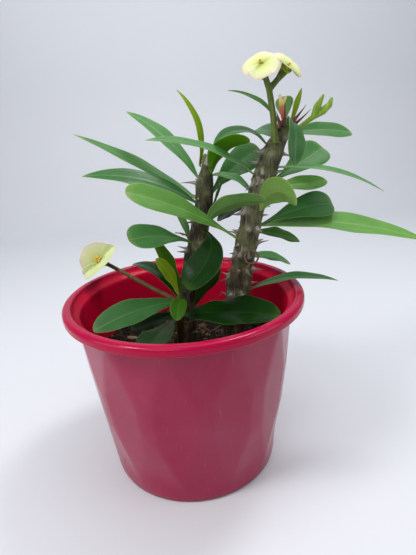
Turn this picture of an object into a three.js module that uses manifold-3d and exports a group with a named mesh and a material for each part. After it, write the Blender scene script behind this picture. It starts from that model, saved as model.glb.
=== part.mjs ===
// A crown of thorns (Euphorbia milii type) in a faceted plastic nursery pot, in millimetres.
// +Z is up, the origin is the centre of the pot's foot, and the front of the plant faces -Y.
import * as THREE from "three";
import { mergeVertices } from "three/addons/utils/BufferGeometryUtils.js";
import Module from "manifold-3d";

const wasm = await Module();
wasm.setup();

// Pot
const POT_HEIGHT = 137;
const RIM_RADIUS = 87.5;
const RIM_WIDTH = 6.3; // from the outer edge of the lip to the mouth
const LIP_HEIGHT = 7;
const LIP_ROUNDING = 2.4;
const LIP_OVERHANG = 8; // of the lip beyond the top of the wall
const FOOT_RADIUS = 64.4;
const FOOT_BAND = 12; // the smooth band below the facets
const FACET_SIDES = 12;
const FACET_TURN = -70; // heading of the first facet corner
const WALL = 2;
const POT_FLOOR = 2.4;
const DRAIN_HOLES = 6;
const DRAIN_RADIUS = 5;
const DRAIN_RING_RADIUS = 44;

// Potting mix
const SOIL_BELOW_RIM = 46;
const SOIL_LUMP = 2.2;
const ROOT_DEPTH = 12; // how far each stem goes into the mix
const GAP = 0.35; // between pieces that touch

// Plant
const COLLAR_BELOW_RIM = 46; // where the heights of the plant's parts are measured from
const MAIN_STEM_RADIUS = 9.2; // at the soil
const LEFT_STEM_RADIUS = 6.8;
const BASAL_SHOOT_RADIUS = 2.8;
const STALK_RADIUS = 2.1;
const STEM_ROOM = 42; // between the stems' axes, for the leaf that reaches across
const LEAF_THICKNESS = 1;
const PETIOLE_WIDTH = 2.4;
const SPINE_LENGTH = 8.5;
const SPINE_RADIUS = 0.8; // at its root
const BRACT_THICKNESS = 0.8;
const RIM_CLEARANCE = 3; // below the rim, where the lowest leaf that leans over it starts
const FLOWER_OVER_RIM = 17; // height of the lowest flower over the rim
const ROD_NOSE = 0.7; // length of a rod's pointed end, as a share of its radius

const SOIL_LEVEL = POT_HEIGHT - SOIL_BELOW_RIM;
const WALL_TOP_RADIUS = RIM_RADIUS - LIP_OVERHANG;
const COLLAR_LEVEL = POT_HEIGHT - COLLAR_BELOW_RIM;
const STEM_FOOT = SOIL_LEVEL - ROOT_DEPTH - COLLAR_LEVEL;
const OVER_RIM = COLLAR_BELOW_RIM + FLOWER_OVER_RIM;
const MOUTH_RADIUS = RIM_RADIUS - RIM_WIDTH;
const LIP_BOTTOM = POT_HEIGHT - LIP_HEIGHT;
const X = 0;
const Y = 1;
const Z = 2;
const up = new THREE.Vector3(0, 0, 1);
const radians = THREE.MathUtils.degToRad;
const lerp = THREE.MathUtils.lerp;

// A repeatable stream of numbers from 0 to 1.
function randomStream(seed) {
  let state = seed;
  return () => {
    state = (state * 1664525 + 1013904223) % 4294967296;
    return state / 4294967296;
  };
}

// The unit vector with this heading (0 is +X, 90 is +Y) and this rise above level, in degrees.
function direction(heading, rise) {
  const level = Math.cos(radians(rise));
  return new THREE.Vector3(
    level * Math.cos(radians(heading)),
    level * Math.sin(radians(heading)),
    Math.sin(radians(rise)),
  );
}

// A closed geometry through rings of equally many points, closed by a point at each end.
function loft(start, rings, end) {
  const count = rings[0].length;
  const points = [start, ...rings.flat(), end];
  const last = points.length - 1;
  const index = [];
  for (let i = 0; i < count; i++) {
    const next = (i + 1) % count;
    index.push(0, 1 + next, 1 + i);
    index.push(last, last - count + i, last - count + next);
    for (let r = 0; r < rings.length - 1; r++) {
      const low = 1 + r * count;
      const high = low + count;
      index.push(low + i, low + next, high + next, low + i, high + next, high + i);
    }
  }
  const geometry = new THREE.BufferGeometry().setFromPoints(points);
  geometry.setIndex(index);
  geometry.computeVertexNormals();
  return geometry;
}

// Solids, for the pieces that are cut or joined.
function toSolid(geometry) {
  const bare = geometry.clone();
  bare.deleteAttribute("normal");
  bare.deleteAttribute("uv");
  const merged = mergeVertices(bare, 1e-4);
  return new wasm.Manifold(
    new wasm.Mesh({
      numProp: 3,
      vertProperties: new Float32Array(merged.getAttribute("position").array),
      triVerts: new Uint32Array(merged.index.array),
    }),
  );
}

function toGeometry(solid) {
  const mesh = solid.getMesh();
  const geometry = new THREE.BufferGeometry();
  geometry.setAttribute("position", new THREE.BufferAttribute(mesh.vertProperties, 3));
  geometry.setIndex(new THREE.BufferAttribute(mesh.triVerts, 1));
  geometry.computeVertexNormals();
  return geometry;
}

function join(geometries) {
  return toGeometry(geometries.map(toSolid).reduce((all, piece) => all.add(piece)));
}

// A solid of revolution about +Z, from a profile of [radius, height] pairs.
function turned(profile, segments) {
  const outline = profile.map(([radius, height]) => new THREE.Vector2(radius, height));
  return new THREE.LatheGeometry(outline, segments).rotateX(Math.PI / 2);
}

// Materials
function material(color, roughness) {
  return new THREE.MeshStandardMaterial({ color, roughness, metalness: 0 });
}

const finish = {
  pot: () => material(0xa51c46, 0.35),
  soil: () => material(0x231a14, 0.95),
  bark: () => material(0x57503f, 0.85),
  greenStem: () => material(0x5a6a2c, 0.6),
  leaf: () => material(0x3f7a34, 0.5),
  youngLeaf: () => material(0x8aa02a, 0.5),
  bract: () => material(0xf2efb4, 0.6),
  cyathium: () => material(0xc98a1e, 0.6),
  bud: () => material(0x8fa648, 0.6),
  withered: () => material(0xa98d62, 0.9),
};

const plant = new THREE.Group();
const potted = new THREE.Group();
potted.add(plant);

function addMesh(parent, name, geometry, surface) {
  const mesh = new THREE.Mesh(geometry, surface);
  mesh.name = name;
  parent.add(mesh);
  return mesh;
}

// ---- Pot ----

// The wall's outer radius at a height, measured to its corners.
function wallRadius(height) {
  return lerp(FOOT_RADIUS, WALL_TOP_RADIUS, height / LIP_BOTTOM);
}

// The harlequin wall, inset by `inset`: rings of corners above the foot band and below the
// lip, and a ring turned by half a side between them, set outwards so that the tall
// diamonds are flat.
function facetedWall(inset, bottom, top) {
  const step = 360 / FACET_SIDES;
  const middle = (FOOT_BAND + LIP_BOTTOM) / 2;
  const bulge = 1 / Math.cos(radians(step / 2));
  const corners = (height, radius, turn) =>
    Array.from({ length: FACET_SIDES }, (_, side) =>
      direction(FACET_TURN + (side - turn) * step, 0)
        .multiplyScalar(radius - inset)
        .setZ(height),
    );
  const rings = [
    corners(bottom, wallRadius(bottom), 0),
    corners(FOOT_BAND, wallRadius(FOOT_BAND), 0),
    corners(middle, wallRadius(middle) * bulge, 0.5),
    corners(LIP_BOTTOM, wallRadius(LIP_BOTTOM), 1),
    corners(top, wallRadius(LIP_BOTTOM), 1),
  ];
  const centre = (height) => new THREE.Vector3(0, 0, height);
  return loft(centre(bottom), rings, centre(top));
}

function makePot() {
  const segments = 4 * FACET_SIDES;
  const overlap = 1;
  const foot = turned(
    [
      [0, 0],
      [FOOT_RADIUS - LIP_ROUNDING, 0],
      [FOOT_RADIUS, LIP_ROUNDING],
      [wallRadius(FOOT_BAND), FOOT_BAND],
      [0, FOOT_BAND],
    ],
    segments,
  );
  const lip = turned(
    [
      [0, LIP_BOTTOM],
      [RIM_RADIUS - LIP_ROUNDING / 2, LIP_BOTTOM],
      [RIM_RADIUS, LIP_BOTTOM + LIP_ROUNDING / 2],
      [RIM_RADIUS, POT_HEIGHT - LIP_ROUNDING],
      [RIM_RADIUS - LIP_ROUNDING * 0.3, POT_HEIGHT - LIP_ROUNDING * 0.3],
      [RIM_RADIUS - LIP_ROUNDING, POT_HEIGHT],
      [0, POT_HEIGHT],
    ],
    segments,
  );
  const mouth = turned(
    [
      [0, LIP_BOTTOM - LIP_HEIGHT / 2],
      [wallRadius(LIP_BOTTOM) - 2 * WALL, LIP_BOTTOM - LIP_HEIGHT / 2],
      [MOUTH_RADIUS - WALL / 2, LIP_BOTTOM + LIP_HEIGHT / 2],
      [MOUTH_RADIUS, POT_HEIGHT - LIP_ROUNDING / 2],
      [MOUTH_RADIUS + LIP_ROUNDING / 2, POT_HEIGHT + overlap],
      [0, POT_HEIGHT + overlap],
    ],
    segments,
  );
  const outside = [facetedWall(0, LIP_ROUNDING, LIP_BOTTOM + overlap), foot, lip];
  const inside = [facetedWall(WALL, POT_FLOOR, LIP_BOTTOM + overlap), mouth];
  let pot = toSolid(join(outside)).subtract(toSolid(join(inside)));
  for (let hole = 0; hole < DRAIN_HOLES; hole++) {
    const cutter = new THREE.CylinderGeometry(DRAIN_RADIUS, DRAIN_RADIUS, 4 * POT_FLOOR, 12);
    cutter.rotateX(Math.PI / 2);
    const centre = direction((360 * hole) / DRAIN_HOLES, 0).multiplyScalar(DRAIN_RING_RADIUS);
    cutter.translate(centre.x, centre.y, 0);
    pot = pot.subtract(toSolid(cutter));
  }
  addMesh(potted, "pot", toGeometry(pot), finish.pot());
}

// ---- Stems ----

// Each stem is a list of [x, y, height above the collar, share of its radius at the soil].
const mainStem = {
  radius: MAIN_STEM_RADIUS,
  sides: 12,
  points: [
    [34, 0, STEM_FOOT, 1],
    [37, 0, 19, 1],
    [39.5, 0, 34, 0.98],
    [42.5, 0, 54, 0.93],
    [46.5, 0, 73, 0.87],
    [50.5, 0, 88, 0.85],
    [53.5, 0, 102, 0.8],
    [58, 2, 116, 0.76],
    [65, 4, 131, 0.8],
    [70, 4, 142, 0.76],
    [74.5, 4, 151, 0.52],
    [78, 4, 161, 0.3],
  ],
};
const leftStem = {
  radius: LEFT_STEM_RADIUS,
  sides: 10,
  points: [
    [-1, 10, STEM_FOOT, 1],
    [1, 10, 25, 0.97],
    [3, 10, 42, 0.93],
    [6.5, 10, 58, 0.91],
    [11.5, 9, 75, 0.91],
    [15.5, 8, 90, 0.88],
    [19.5, 8, 107, 0.85],
    [21, 8, 121, 0.84],
    [21.8, 8, 127, 0.74],
    [22.2, 8, 131, 0.48],
    [22.3, 8, 141, 0.24],
  ],
};
const basalShoot = {
  radius: BASAL_SHOOT_RADIUS,
  sides: 8,
  points: [
    [-6, -8, STEM_FOOT, 1],
    [-5, -8, 16, 1],
    [-4.2, -8, 32, 0.93],
    [-3.5, -8, 42, 0.86],
    [-0.5, -8, 55, 0.5],
  ],
};

// The stem's axis and radius at a height above the collar.
function stemAt(stem, height) {
  const points = stem.points;
  const above = points.findIndex((point) => point[Z] >= height);
  const high = points[Math.max(above, 1)];
  const low = points[Math.max(above, 1) - 1];
  const share = (height - low[Z]) / (high[Z] - low[Z]);
  return {
    centre: new THREE.Vector3(lerp(low[X], high[X], share), lerp(low[Y], high[Y], share), height),
    radius: stem.radius * lerp(low[3], high[3], share),
  };
}

// A round rod through [x, y, z, radius] points, with rings across its own direction.
function rod(points, sides) {
  const centres = points.map((point) => new THREE.Vector3(point[X], point[Y], point[Z]));
  const rings = centres.map((centre, i) => {
    const before = centres[Math.max(i - 1, 0)];
    const after = centres[Math.min(i + 1, centres.length - 1)];
    const along = after.clone().sub(before).normalize();
    const side = new THREE.Vector3(0, -1, 0).cross(along).normalize();
    const other = along.clone().cross(side);
    return Array.from({ length: sides }, (_, k) => {
      const turn = (2 * Math.PI * k) / sides;
      return centre
        .clone()
        .addScaledVector(side, points[i][3] * Math.cos(turn))
        .addScaledVector(other, points[i][3] * Math.sin(turn));
    });
  });
  const nose = centres.at(-1).clone().sub(centres.at(-2)).setLength(points.at(-1)[3] * ROD_NOSE);
  return loft(centres[0], rings, centres.at(-1).clone().add(nose));
}

function stemRod(stem, extra = 0) {
  return rod(
    stem.points.map(([x, y, height, share]) => [x, y, height, stem.radius * share + extra]),
    stem.sides,
  );
}

// A tapered four-sided spine that starts inside the stem.
function spine(stem, height, heading, rise, length) {
  const { centre, radius } = stemAt(stem, height);
  const out = direction(heading, rise);
  const start = centre.clone().addScaledVector(direction(heading, 0), radius * 0.75);
  const tip = start.clone().addScaledVector(out, radius * 0.25 + length);
  const side = out.clone().cross(up).normalize();
  const other = out.clone().cross(side);
  const ring = [0, 1, 2, 3].map((k) =>
    start
      .clone()
      .addScaledVector(side, SPINE_RADIUS * Math.cos((Math.PI * k) / 2))
      .addScaledVector(other, SPINE_RADIUS * Math.sin((Math.PI * k) / 2)),
  );
  return loft(start, [ring], tip);
}

// Pairs of spines that climb the stem in a spiral, as its old leaf scars do.
function spiralSpines(stem, { from, to, count, turn, seed }) {
  const random = randomStream(seed);
  const spines = [];
  for (let pair = 0; pair < count; pair++) {
    const height = lerp(from, to, (pair + 0.3 * random()) / count);
    const heading = turn + pair * 137.5;
    for (const side of [-1, 1]) {
      const length = SPINE_LENGTH * lerp(0.75, 1.2, random());
      const rise = lerp(-25, 20, random());
      spines.push(spine(stem, height, heading + side * lerp(16, 30, random()), rise, length));
    }
  }
  return spines;
}

// The solids of the leaves and stalks, which the spines grow clear of.
const foliage = [];

function clearOfFoliage(geometry) {
  const solid = toSolid(geometry);
  return foliage.every((piece) => !meets(piece, solid));
}

function meets(solid, other) {
  return solid.intersect(other).volume() > 0;
}

// The young spines around a growing tip: [height, heading, rise, length].
const crownSpines = [
  [157, -100, 78, 15],
  [156, -25, 47, 17],
  [154, -8, 38, 19],
  [156, -150, 68, 10],
  [155, 60, 50, 12],
  [140, -175, 8, 14],
  [139, 20, -20, 12],
  [150, 120, 30, 9],
];
const leftTipSpines = [
  [133, 180, 60, 10],
  [135, -60, 72, 11],
  [122, 178, 4, 12],
  [123, -5, 8, 13],
  [128, 60, 50, 9],
];

function thornyStem(stem, spiral, tipSpines) {
  const young = tipSpines.map((values) => spine(stem, ...values));
  const spines = [...spiralSpines(stem, spiral), ...young].filter(clearOfFoliage);
  return join([stemRod(stem), ...spines]);
}

function makeStems() {
  const mainSpiral = { from: 22, to: 138, count: 19, turn: 200, seed: 7 };
  const leftSpiral = { from: 26, to: 118, count: 12, turn: 60, seed: 11 };
  addMesh(plant, "main_stem", thornyStem(mainStem, mainSpiral, crownSpines), finish.bark());
  addMesh(plant, "left_stem", thornyStem(leftStem, leftSpiral, leftTipSpines), finish.bark());
  addMesh(plant, "basal_shoot", stemRod(basalShoot), finish.greenStem());
}

// ---- Potting mix ----

// The mix fills the pot up to its lumpy top, with a socket for each stem.
function makePottingMix() {
  const rings = 7;
  const segments = 30;
  const reach = RIM_RADIUS;
  const random = randomStream(3);
  const ringAt = (radius, height) =>
    Array.from({ length: segments }, (_, k) =>
      direction((360 * k) / segments, 0)
        .multiplyScalar(radius)
        .setZ(height()),
    );
  const lumpy = () => SOIL_LEVEL + SOIL_LUMP * (random() - 0.5);
  const top = Array.from({ length: rings }, (_, i) => ringAt(reach * (1 - i / rings), lumpy));
  const mound = loft(
    new THREE.Vector3(0, 0, 0),
    [ringAt(reach, () => 0), ...top],
    new THREE.Vector3(0, 0, SOIL_LEVEL),
  );
  const inside = facetedWall(WALL + GAP, POT_FLOOR + GAP, LIP_BOTTOM + GAP);
  let mix = toSolid(inside).intersect(toSolid(mound));
  for (const stem of [mainStem, leftStem, basalShoot]) {
    const socket = stemRod(stem, GAP).translate(0, 0, COLLAR_LEVEL - GAP);
    const wider = stemRod(stem, GAP).translate(0, 0, COLLAR_LEVEL);
    mix = mix.subtract(toSolid(socket)).subtract(toSolid(wider));
  }
  addMesh(potted, "potting_mix", toGeometry(mix), finish.soil());
}

// ---- Leaves ----

// A leaf's width along its length, as a share of its greatest: it grows as t to the power
// `base` and closes as (1 - t) to the power `tip`.
const outlines = {
  lance: { base: 0.9, tip: 0.9 },
  oval: { base: 0.9, tip: 0.6 },
  spoon: { base: 1.5, tip: 0.45 },
  bract: { base: 0.15, tip: 0.5 },
};

function widthShare(outline, t) {
  const { base, tip } = outlines[outline];
  const widest = base / (base + tip);
  return (t / widest) ** base * ((1 - t) / (1 - widest)) ** tip;
}

// A thin blade along an arc. It starts with this heading and rise, droops and sweeps by
// those angles in all, and rolls about its own midrib from `roll` to `roll + twist`.
// Across it is a shallow V, `fold` degrees on each side.
function blade(start, spec) {
  const { heading, rise, length, width, droop, outline } = spec;
  const { sweep = 0, roll = 0, twist = 0, fold = 12, thickness = LEAF_THICKNESS } = spec;
  const steps = Math.max(8, Math.round(length / 7));
  const rings = [];
  const point = start.clone();
  const fineSteps = 8;
  const station = (i) => Math.sin((Math.PI * i) / (2 * steps)); // closer together at the tip
  const edge = (t) => Math.max(widthShare(outline, t) * width, PETIOLE_WIDTH * (1 - t)) / 2;
  for (let i = 0; i < steps; i++) {
    const t = station(i);
    const along = direction(heading + sweep * t, rise - droop * t);
    const level = direction(heading + sweep * t + 90, 0);
    const side = level.applyAxisAngle(along, radians(roll + twist * t));
    const normal = along.clone().cross(side);
    const half = edge(t);
    const lift = half * Math.sin(radians(fold));
    const span = half * Math.cos(radians(fold));
    rings.push([
      point.clone().addScaledVector(side, span).addScaledVector(normal, lift),
      point.clone().addScaledVector(normal, thickness / 2),
      point.clone().addScaledVector(side, -span).addScaledVector(normal, lift),
      point.clone().addScaledVector(normal, -thickness / 2),
    ]);
    const stretch = (station(i + 1) - t) / fineSteps;
    for (let k = 0; k < fineSteps; k++) {
      const fine = t + (k + 0.5) * stretch;
      const ahead = direction(heading + sweep * fine, rise - droop * fine);
      point.addScaledVector(ahead, length * stretch);
    }
  }
  return loft(start, rings, point);
}

// The place on a stem's skin that a leaf with this heading grows from.
function leafBase(stem, height, heading, gap = GAP) {
  const { centre, radius } = stemAt(stem, height);
  return centre.addScaledVector(direction(heading, 0), radius + gap);
}

// A blade whose foot stands just clear of its stem, whichever way both of them lean.
function seatedBlade(stem, height, spec) {
  const nudge = 0.25;
  const skin = toSolid(stemRod(stem, GAP / 2));
  let gap = GAP;
  let geometry;
  do {
    geometry = blade(leafBase(stem, height, spec.heading, gap), spec);
    gap += nudge;
  } while (meets(toSolid(geometry), skin));
  return geometry;
}

const overRim = COLLAR_BELOW_RIM - RIM_CLEARANCE;
const betweenStems = STEM_ROOM - MAIN_STEM_RADIUS;

// Each leaf: name, stem, height above the collar, [heading, rise], [length, width], outline, bend.
const leaves = [
  // On the main stem, from the lowest up
  ["leaf_main_1", mainStem, overRim, [-10, 26], [66, 13], "lance", { droop: 45, sweep: 5, roll: 5 }],
  ["leaf_main_2", mainStem, 66, [42, -8], [52, 13], "oval", { droop: 25, sweep: -10, roll: 30 }],
  ["leaf_main_3", mainStem, 83, [-174, 38], [86, 22], "spoon", { droop: 20, sweep: 20, roll: -45 }],
  ["leaf_main_4", mainStem, 85, [32, -14], [50, 15], "oval", { droop: 10, sweep: 5, roll: 35 }],
  ["leaf_main_5", mainStem, 90, [10, 2], [121, 22], "lance", { droop: 20, sweep: -35, roll: 25 }],
  ["leaf_main_6", mainStem, 91, [0, 26], [59, 22], "spoon", { droop: 35, sweep: 25, roll: 50 }],
  ["leaf_main_7", mainStem, 103, [-64, 72], [44, 20], "oval", { droop: 120, roll: -65 }],
  ["leaf_main_8", mainStem, 103, [126, -10], [32, 13], "oval", { droop: 25, sweep: 10, roll: -45 }],
  ["leaf_main_9", mainStem, 117, [-2, 0], [46, 14], "oval", { sweep: 35, roll: 40 }],
  ["leaf_main_10", mainStem, 120, [16, 26], [54, 24], "spoon", { droop: 10, sweep: 25, roll: 40 }],
  ["leaf_main_11", mainStem, 126, [-162, 40], [82, 14], "lance", { droop: 40, sweep: 5, roll: -25 }],
  ["leaf_main_12", mainStem, 130, [-18, 2], [75, 12], "lance", { droop: 35, sweep: 15, roll: 10 }],
  ["leaf_main_13", mainStem, 146, [-176, 56], [42, 18], "oval", { droop: 112, sweep: -7, roll: -15 }],
  ["leaf_main_14", mainStem, 149, [98, 22], [37, 14], "oval", { droop: 25, sweep: 5, roll: -25 }],
  ["leaf_main_15", mainStem, 152, [4, 4], [55, 15], "oval", { droop: 15, sweep: 30, roll: 45 }],
  ["leaf_main_16", mainStem, 156, [-81, 30], [48, 15], "oval", { droop: 135, sweep: -39, roll: -45 }],
  ["leaf_main_17", mainStem, 158, [76, 78], [18, 13], "spoon", { droop: 5, roll: -20 }],
  ["leaf_main_18", mainStem, 159, [164, 58], [42, 9], "lance", { droop: 50, roll: -15 }],
  ["leaf_main_19", mainStem, 159, [10, 68], [22, 5.5], "lance", { droop: -5, roll: -70 }],
  // On the left stem
  ["leaf_basal_7", basalShoot, 30, [-28, 14], [73, 32], "oval", { droop: 14, roll: 14 }],
  ["leaf_left_2", leftStem, 31, [-32, 49], [44, 18], "oval", { droop: -18, sweep: -44, roll: -10 }],
  ["leaf_left_3", leftStem, 44, [-150, 70], [47, 17], "oval", { droop: 5, sweep: 5, roll: 10 }],
  ["leaf_left_4", leftStem, 81, [-146, 28], [51, 22], "spoon", { droop: 30, roll: -40 }],
  ["leaf_left_5", leftStem, 81, [154, 80], [29, 9], "lance", { droop: 25, sweep: 5, roll: -10 }],
  ["leaf_left_6", leftStem, 90, [-64, -14], [59, 26], "spoon", { droop: 30, sweep: -100, roll: -10 }],
  ["leaf_left_7", leftStem, 96, [-56, 46], [50, 16], "oval", { droop: 55, sweep: 45, roll: -45 }],
  ["leaf_left_8", leftStem, 109, [-168, 38], [80, 16], "lance", { droop: 40, sweep: -5, roll: -35 }],
  ["leaf_left_9", leftStem, 111, [163, 36], [94, 14], "lance", { droop: 10, sweep: 25, roll: -20 }],
  ["leaf_left_10", leftStem, 107, [0, 60], [20, 8], "oval", { droop: -10, roll: -20 }],
  ["leaf_left_11", leftStem, 114, [38, 40], [51, 24], "spoon", { droop: 15, sweep: -30, roll: 45 }],
  ["leaf_left_12", leftStem, 126, [162, 60], [70, 15], "lance", { droop: 35, sweep: -10, roll: -20 }],
  ["leaf_left_13", leftStem, 129, [-48, 84], [39, 14], "oval", { droop: 100, sweep: 45, roll: -40 }],
  ["leaf_left_15", leftStem, 127, [6, 2], [betweenStems, 12], "oval", { droop: 62, roll: 25 }],
  ["leaf_left_14", leftStem, 134, [180, 106], [53, 8], "lance", { droop: 60, roll: -35 }],
  // On the basal shoot
  ["leaf_basal_1", basalShoot, 29, [-116, 8], [55, 24], "spoon", { droop: 10, sweep: 10, roll: 5 }],
  ["leaf_basal_2", basalShoot, 32, [-158, -6], [35, 15], "oval", { droop: 5, sweep: -10, roll: -15 }],
  ["leaf_basal_3", basalShoot, 41, [-156, 8], [64, 22], "oval", { droop: 20, sweep: 15, roll: -25 }],
  ["leaf_basal_4", basalShoot, 43, [-92, 24], [26, 12], "oval", { droop: 75, sweep: -10 }],
  ["leaf_basal_5", basalShoot, 44, [132, 54], [51, 15], "oval", { droop: 65, sweep: 10 }],
  ["leaf_basal_6", basalShoot, 48, [-142, 78], [33, 10], "oval", { droop: 30, sweep: -10, roll: -75 }],
];
const youngLeaves = ["leaf_main_19", "leaf_left_14", "leaf_basal_4", "leaf_basal_6"];

function addFoliage(name, geometry, surface) {
  foliage.push(toSolid(geometry));
  addMesh(plant, name, geometry, surface);
}

function makeLeaves() {
  for (const [name, stem, height, [heading, rise], [length, width], outline, bend] of leaves) {
    const spec = { heading, rise, length, width, outline, droop: 0, ...bend };
    const surface = youngLeaves.includes(name) ? finish.youngLeaf() : finish.leaf();
    addFoliage(name, seatedBlade(stem, height, spec), surface);
  }
}

// ---- Flowers ----

// Each flower faces along its own +Z; `facing` gives that as [heading, rise]. `turn` is the
// heading of its first bract about it, the second is opposite, and `cups` are their rises.
const flowers = {
  flower_1: { centre: [58.4, -9, 193.5], facing: [-115, 45], turn: 115, cups: [14, 14], bract: [12, 22] },
  flower_2: { centre: [77, -3, 192], facing: [-64, 30], turn: -107, cups: [44, 2], bract: [13.5, 22] },
  flower_3: { centre: [-66, 38, OVER_RIM], facing: [-112, 36], turn: -61, cups: [55, 62], bract: [16, 28] },
};
const CYATHIUM_RADIUS = 1.5;

function placed(flower) {
  const group = new THREE.Group();
  group.position.set(...flower.centre);
  group.quaternion.setFromUnitVectors(up, direction(...flower.facing));
  plant.add(group);
  return group;
}

function makeFlower(name, flower) {
  const group = placed(flower);
  const [length, width] = flower.bract;
  for (const [side, label] of [[0, "a"], [1, "b"]]) {
    const heading = flower.turn + 180 * side;
    const spec = {
      heading,
      rise: flower.cups[side],
      length,
      width,
      droop: 30,
      fold: 5,
      thickness: BRACT_THICKNESS,
      outline: "bract",
    };
    const start = direction(heading, 0).multiplyScalar(GAP + BRACT_THICKNESS / 2);
    addMesh(group, `${name}_bract_${label}`, blade(start, spec), finish.bract());
  }
  const centre = new THREE.SphereGeometry(CYATHIUM_RADIUS, 10, 6).rotateX(Math.PI / 2);
  centre.translate(0, 0, BRACT_THICKNESS + GAP + CYATHIUM_RADIUS);
  addMesh(group, `${name}_cyathium`, centre, finish.cyathium());
}

// The end of a flower's stalk, as wide as `radius`, a gap below the bracts.
function underFlower(flower, radius) {
  const drop = BRACT_THICKNESS + GAP + ROD_NOSE * radius;
  const point = new THREE.Vector3(...flower.centre);
  return node(point.addScaledVector(direction(...flower.facing), -drop), radius);
}

// A rod's point from a vector and a radius.
function node(point, radius) {
  return [point.x, point.y, point.z, radius];
}

function at(x, y, z, radius) {
  return [x, y, z, radius];
}

// The forked stalk of the two flowers at the crown.
function makeCrownStalk() {
  const foot = leafBase(mainStem, 146, -112, STALK_RADIUS + 3 * GAP);
  const fork = at(64.5, -5, 179, STALK_RADIUS * 0.95);
  const trunk = rod([node(foot, STALK_RADIUS), at(67, -5, 163, STALK_RADIUS), fork], 8);
  const [one, two] = [flowers.flower_1, flowers.flower_2];
  const arms = [
    [fork, at(62, -6, 186, STALK_RADIUS * 0.9), underFlower(one, STALK_RADIUS)],
    [fork, at(70.5, -4.5, 185, STALK_RADIUS * 0.9), underFlower(two, STALK_RADIUS * 1.5)],
  ];
  const stalk = join([trunk, ...arms.map((points) => rod(points, 8))]);
  addFoliage("crown_flower_stalk", stalk, finish.greenStem());
}

// The long stalk from the basal shoot, which leans over the rim.
function makeRimStalk() {
  const foot = leafBase(basalShoot, 41, 140, STALK_RADIUS);
  const points = [
    node(foot, STALK_RADIUS * 0.85),
    at(-26, 13, COLLAR_BELOW_RIM, STALK_RADIUS * 0.75),
    at(-57, 37, OVER_RIM - 5, STALK_RADIUS * 0.75),
    underFlower(flowers.flower_3, STALK_RADIUS),
  ];
  addFoliage("rim_flower_stalk", rod(points, 8), finish.greenStem());
}

// A reddish cluster that has just opened at the crown, forked at its top.
function makeYoungCluster() {
  const base = at(72.6, -7.5, 161, 0.9);
  const fork = at(71.6, -8, 169, 1.5);
  const cluster = join([
    rod([base, fork], 6),
    rod([fork, at(70.6, -8.5, 175, 0.9)], 6),
    rod([fork, at(74.6, -7.5, 174, 0.8)], 6),
  ]);
  addFoliage("young_flower_cluster", cluster, finish.bud());
}

// Two closed buds on one short stalk at the right of the crown.
function makeBuds() {
  const joint = at(94.5, -2, 161, 1.6);
  const buds = join([
    rod([at(86, 1.5, 155, 1.1), joint], 8),
    rod([joint, at(96.7, -3, 167, 2.4), at(100.1, -4.5, 174, 0.5)], 8),
    rod([joint, at(101, -2, 164.5, 2.4), at(105.5, -1.5, 168, 1.8), at(107, -1, 172, 0.7)], 8),
  ]);
  addFoliage("bud_pair", buds, finish.bud());
}

// A withered scrap of leaf that lies on the joint of leaf_left_4.
function makeWitheredScrap() {
  const spec = { heading: -150, rise: 25, length: 11, width: 3.5, droop: 10, outline: "oval" };
  addFoliage("withered_scrap", blade(new THREE.Vector3(6, -3, 88), spec), finish.withered());
}

makePot();
makeLeaves();
Object.entries(flowers).forEach(([name, flower]) => makeFlower(name, flower));
makeCrownStalk();
makeRimStalk();
makeYoungCluster();
makeBuds();
makeWitheredScrap();
makeStems();
makePottingMix();
plant.position.z = COLLAR_LEVEL;

export default potted;
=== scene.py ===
import math
import random

import bmesh
import bpy
import numpy as np
from mathutils import Euler, Matrix, Vector, noise
from mathutils.bvhtree import BVHTree


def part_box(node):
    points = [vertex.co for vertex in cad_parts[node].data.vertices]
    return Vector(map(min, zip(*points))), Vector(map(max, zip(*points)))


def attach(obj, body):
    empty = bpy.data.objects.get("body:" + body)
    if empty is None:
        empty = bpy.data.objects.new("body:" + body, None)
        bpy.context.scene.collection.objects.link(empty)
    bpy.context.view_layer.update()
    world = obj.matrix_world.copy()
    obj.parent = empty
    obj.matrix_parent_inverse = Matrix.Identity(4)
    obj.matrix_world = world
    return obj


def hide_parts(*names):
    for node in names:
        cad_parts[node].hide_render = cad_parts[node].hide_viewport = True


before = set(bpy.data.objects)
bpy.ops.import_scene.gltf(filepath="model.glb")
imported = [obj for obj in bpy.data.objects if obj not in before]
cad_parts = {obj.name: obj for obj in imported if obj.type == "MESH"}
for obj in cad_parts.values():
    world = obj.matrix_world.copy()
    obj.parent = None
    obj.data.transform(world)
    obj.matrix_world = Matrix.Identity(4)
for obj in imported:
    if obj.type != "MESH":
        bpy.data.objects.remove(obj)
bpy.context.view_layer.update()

MM = 0.001

# Camera, at the photograph's viewing angle
CAMERA_PLACE = (0, -292 * MM, 249.1 * MM)
CAMERA_TURN = -3.62  # degrees about +Z, away from +Y
CAMERA_PITCH = -19.54
CAMERA_ROLL = -3.58
CAMERA_LENS = 27.24

# Leaves
LEAF_COLUMNS = 15  # points across the upper face
LEAF_ROWS = 6  # between two CAD stations
LEAF_HALF_THICKNESS = 0.27 * MM
MARGIN_HALF_THICKNESS = 0.1 * MM
RIB_GROOVE = 0.22 * MM
RIB_KEEL = 0.5 * MM
RIB_HALF_WIDTH = 0.55 * MM
FOOT_DEPTH = 1.8 * MM  # how far a leaf's foot reaches into its stem
FOLD = math.sin(math.radians(12))

# Stems
STEM_STEP = 1 * MM
STEM_COLUMNS = 84
AXIS_SPOKES = 24  # rays that look for a stem's skin
AXIS_MEMORY = 8  # rows that set a stem's heading
SCAR_RUN = 20  # mm that a leaf scar's knob runs down the stem
SCAR_REACH = 5  # mm that it runs up
SCAR_SPACING = 5  # rows between the scars that bear no large spine
GOLDEN_TURN = math.radians(137.5)  # from each leaf to the next
LARGE_SPINE = 2.5 * MM  # the shortest flank of a CAD spine's point
SPINE_SIDES = 10
SPINE_ROWS = 10
TWIGS = 26

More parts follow.
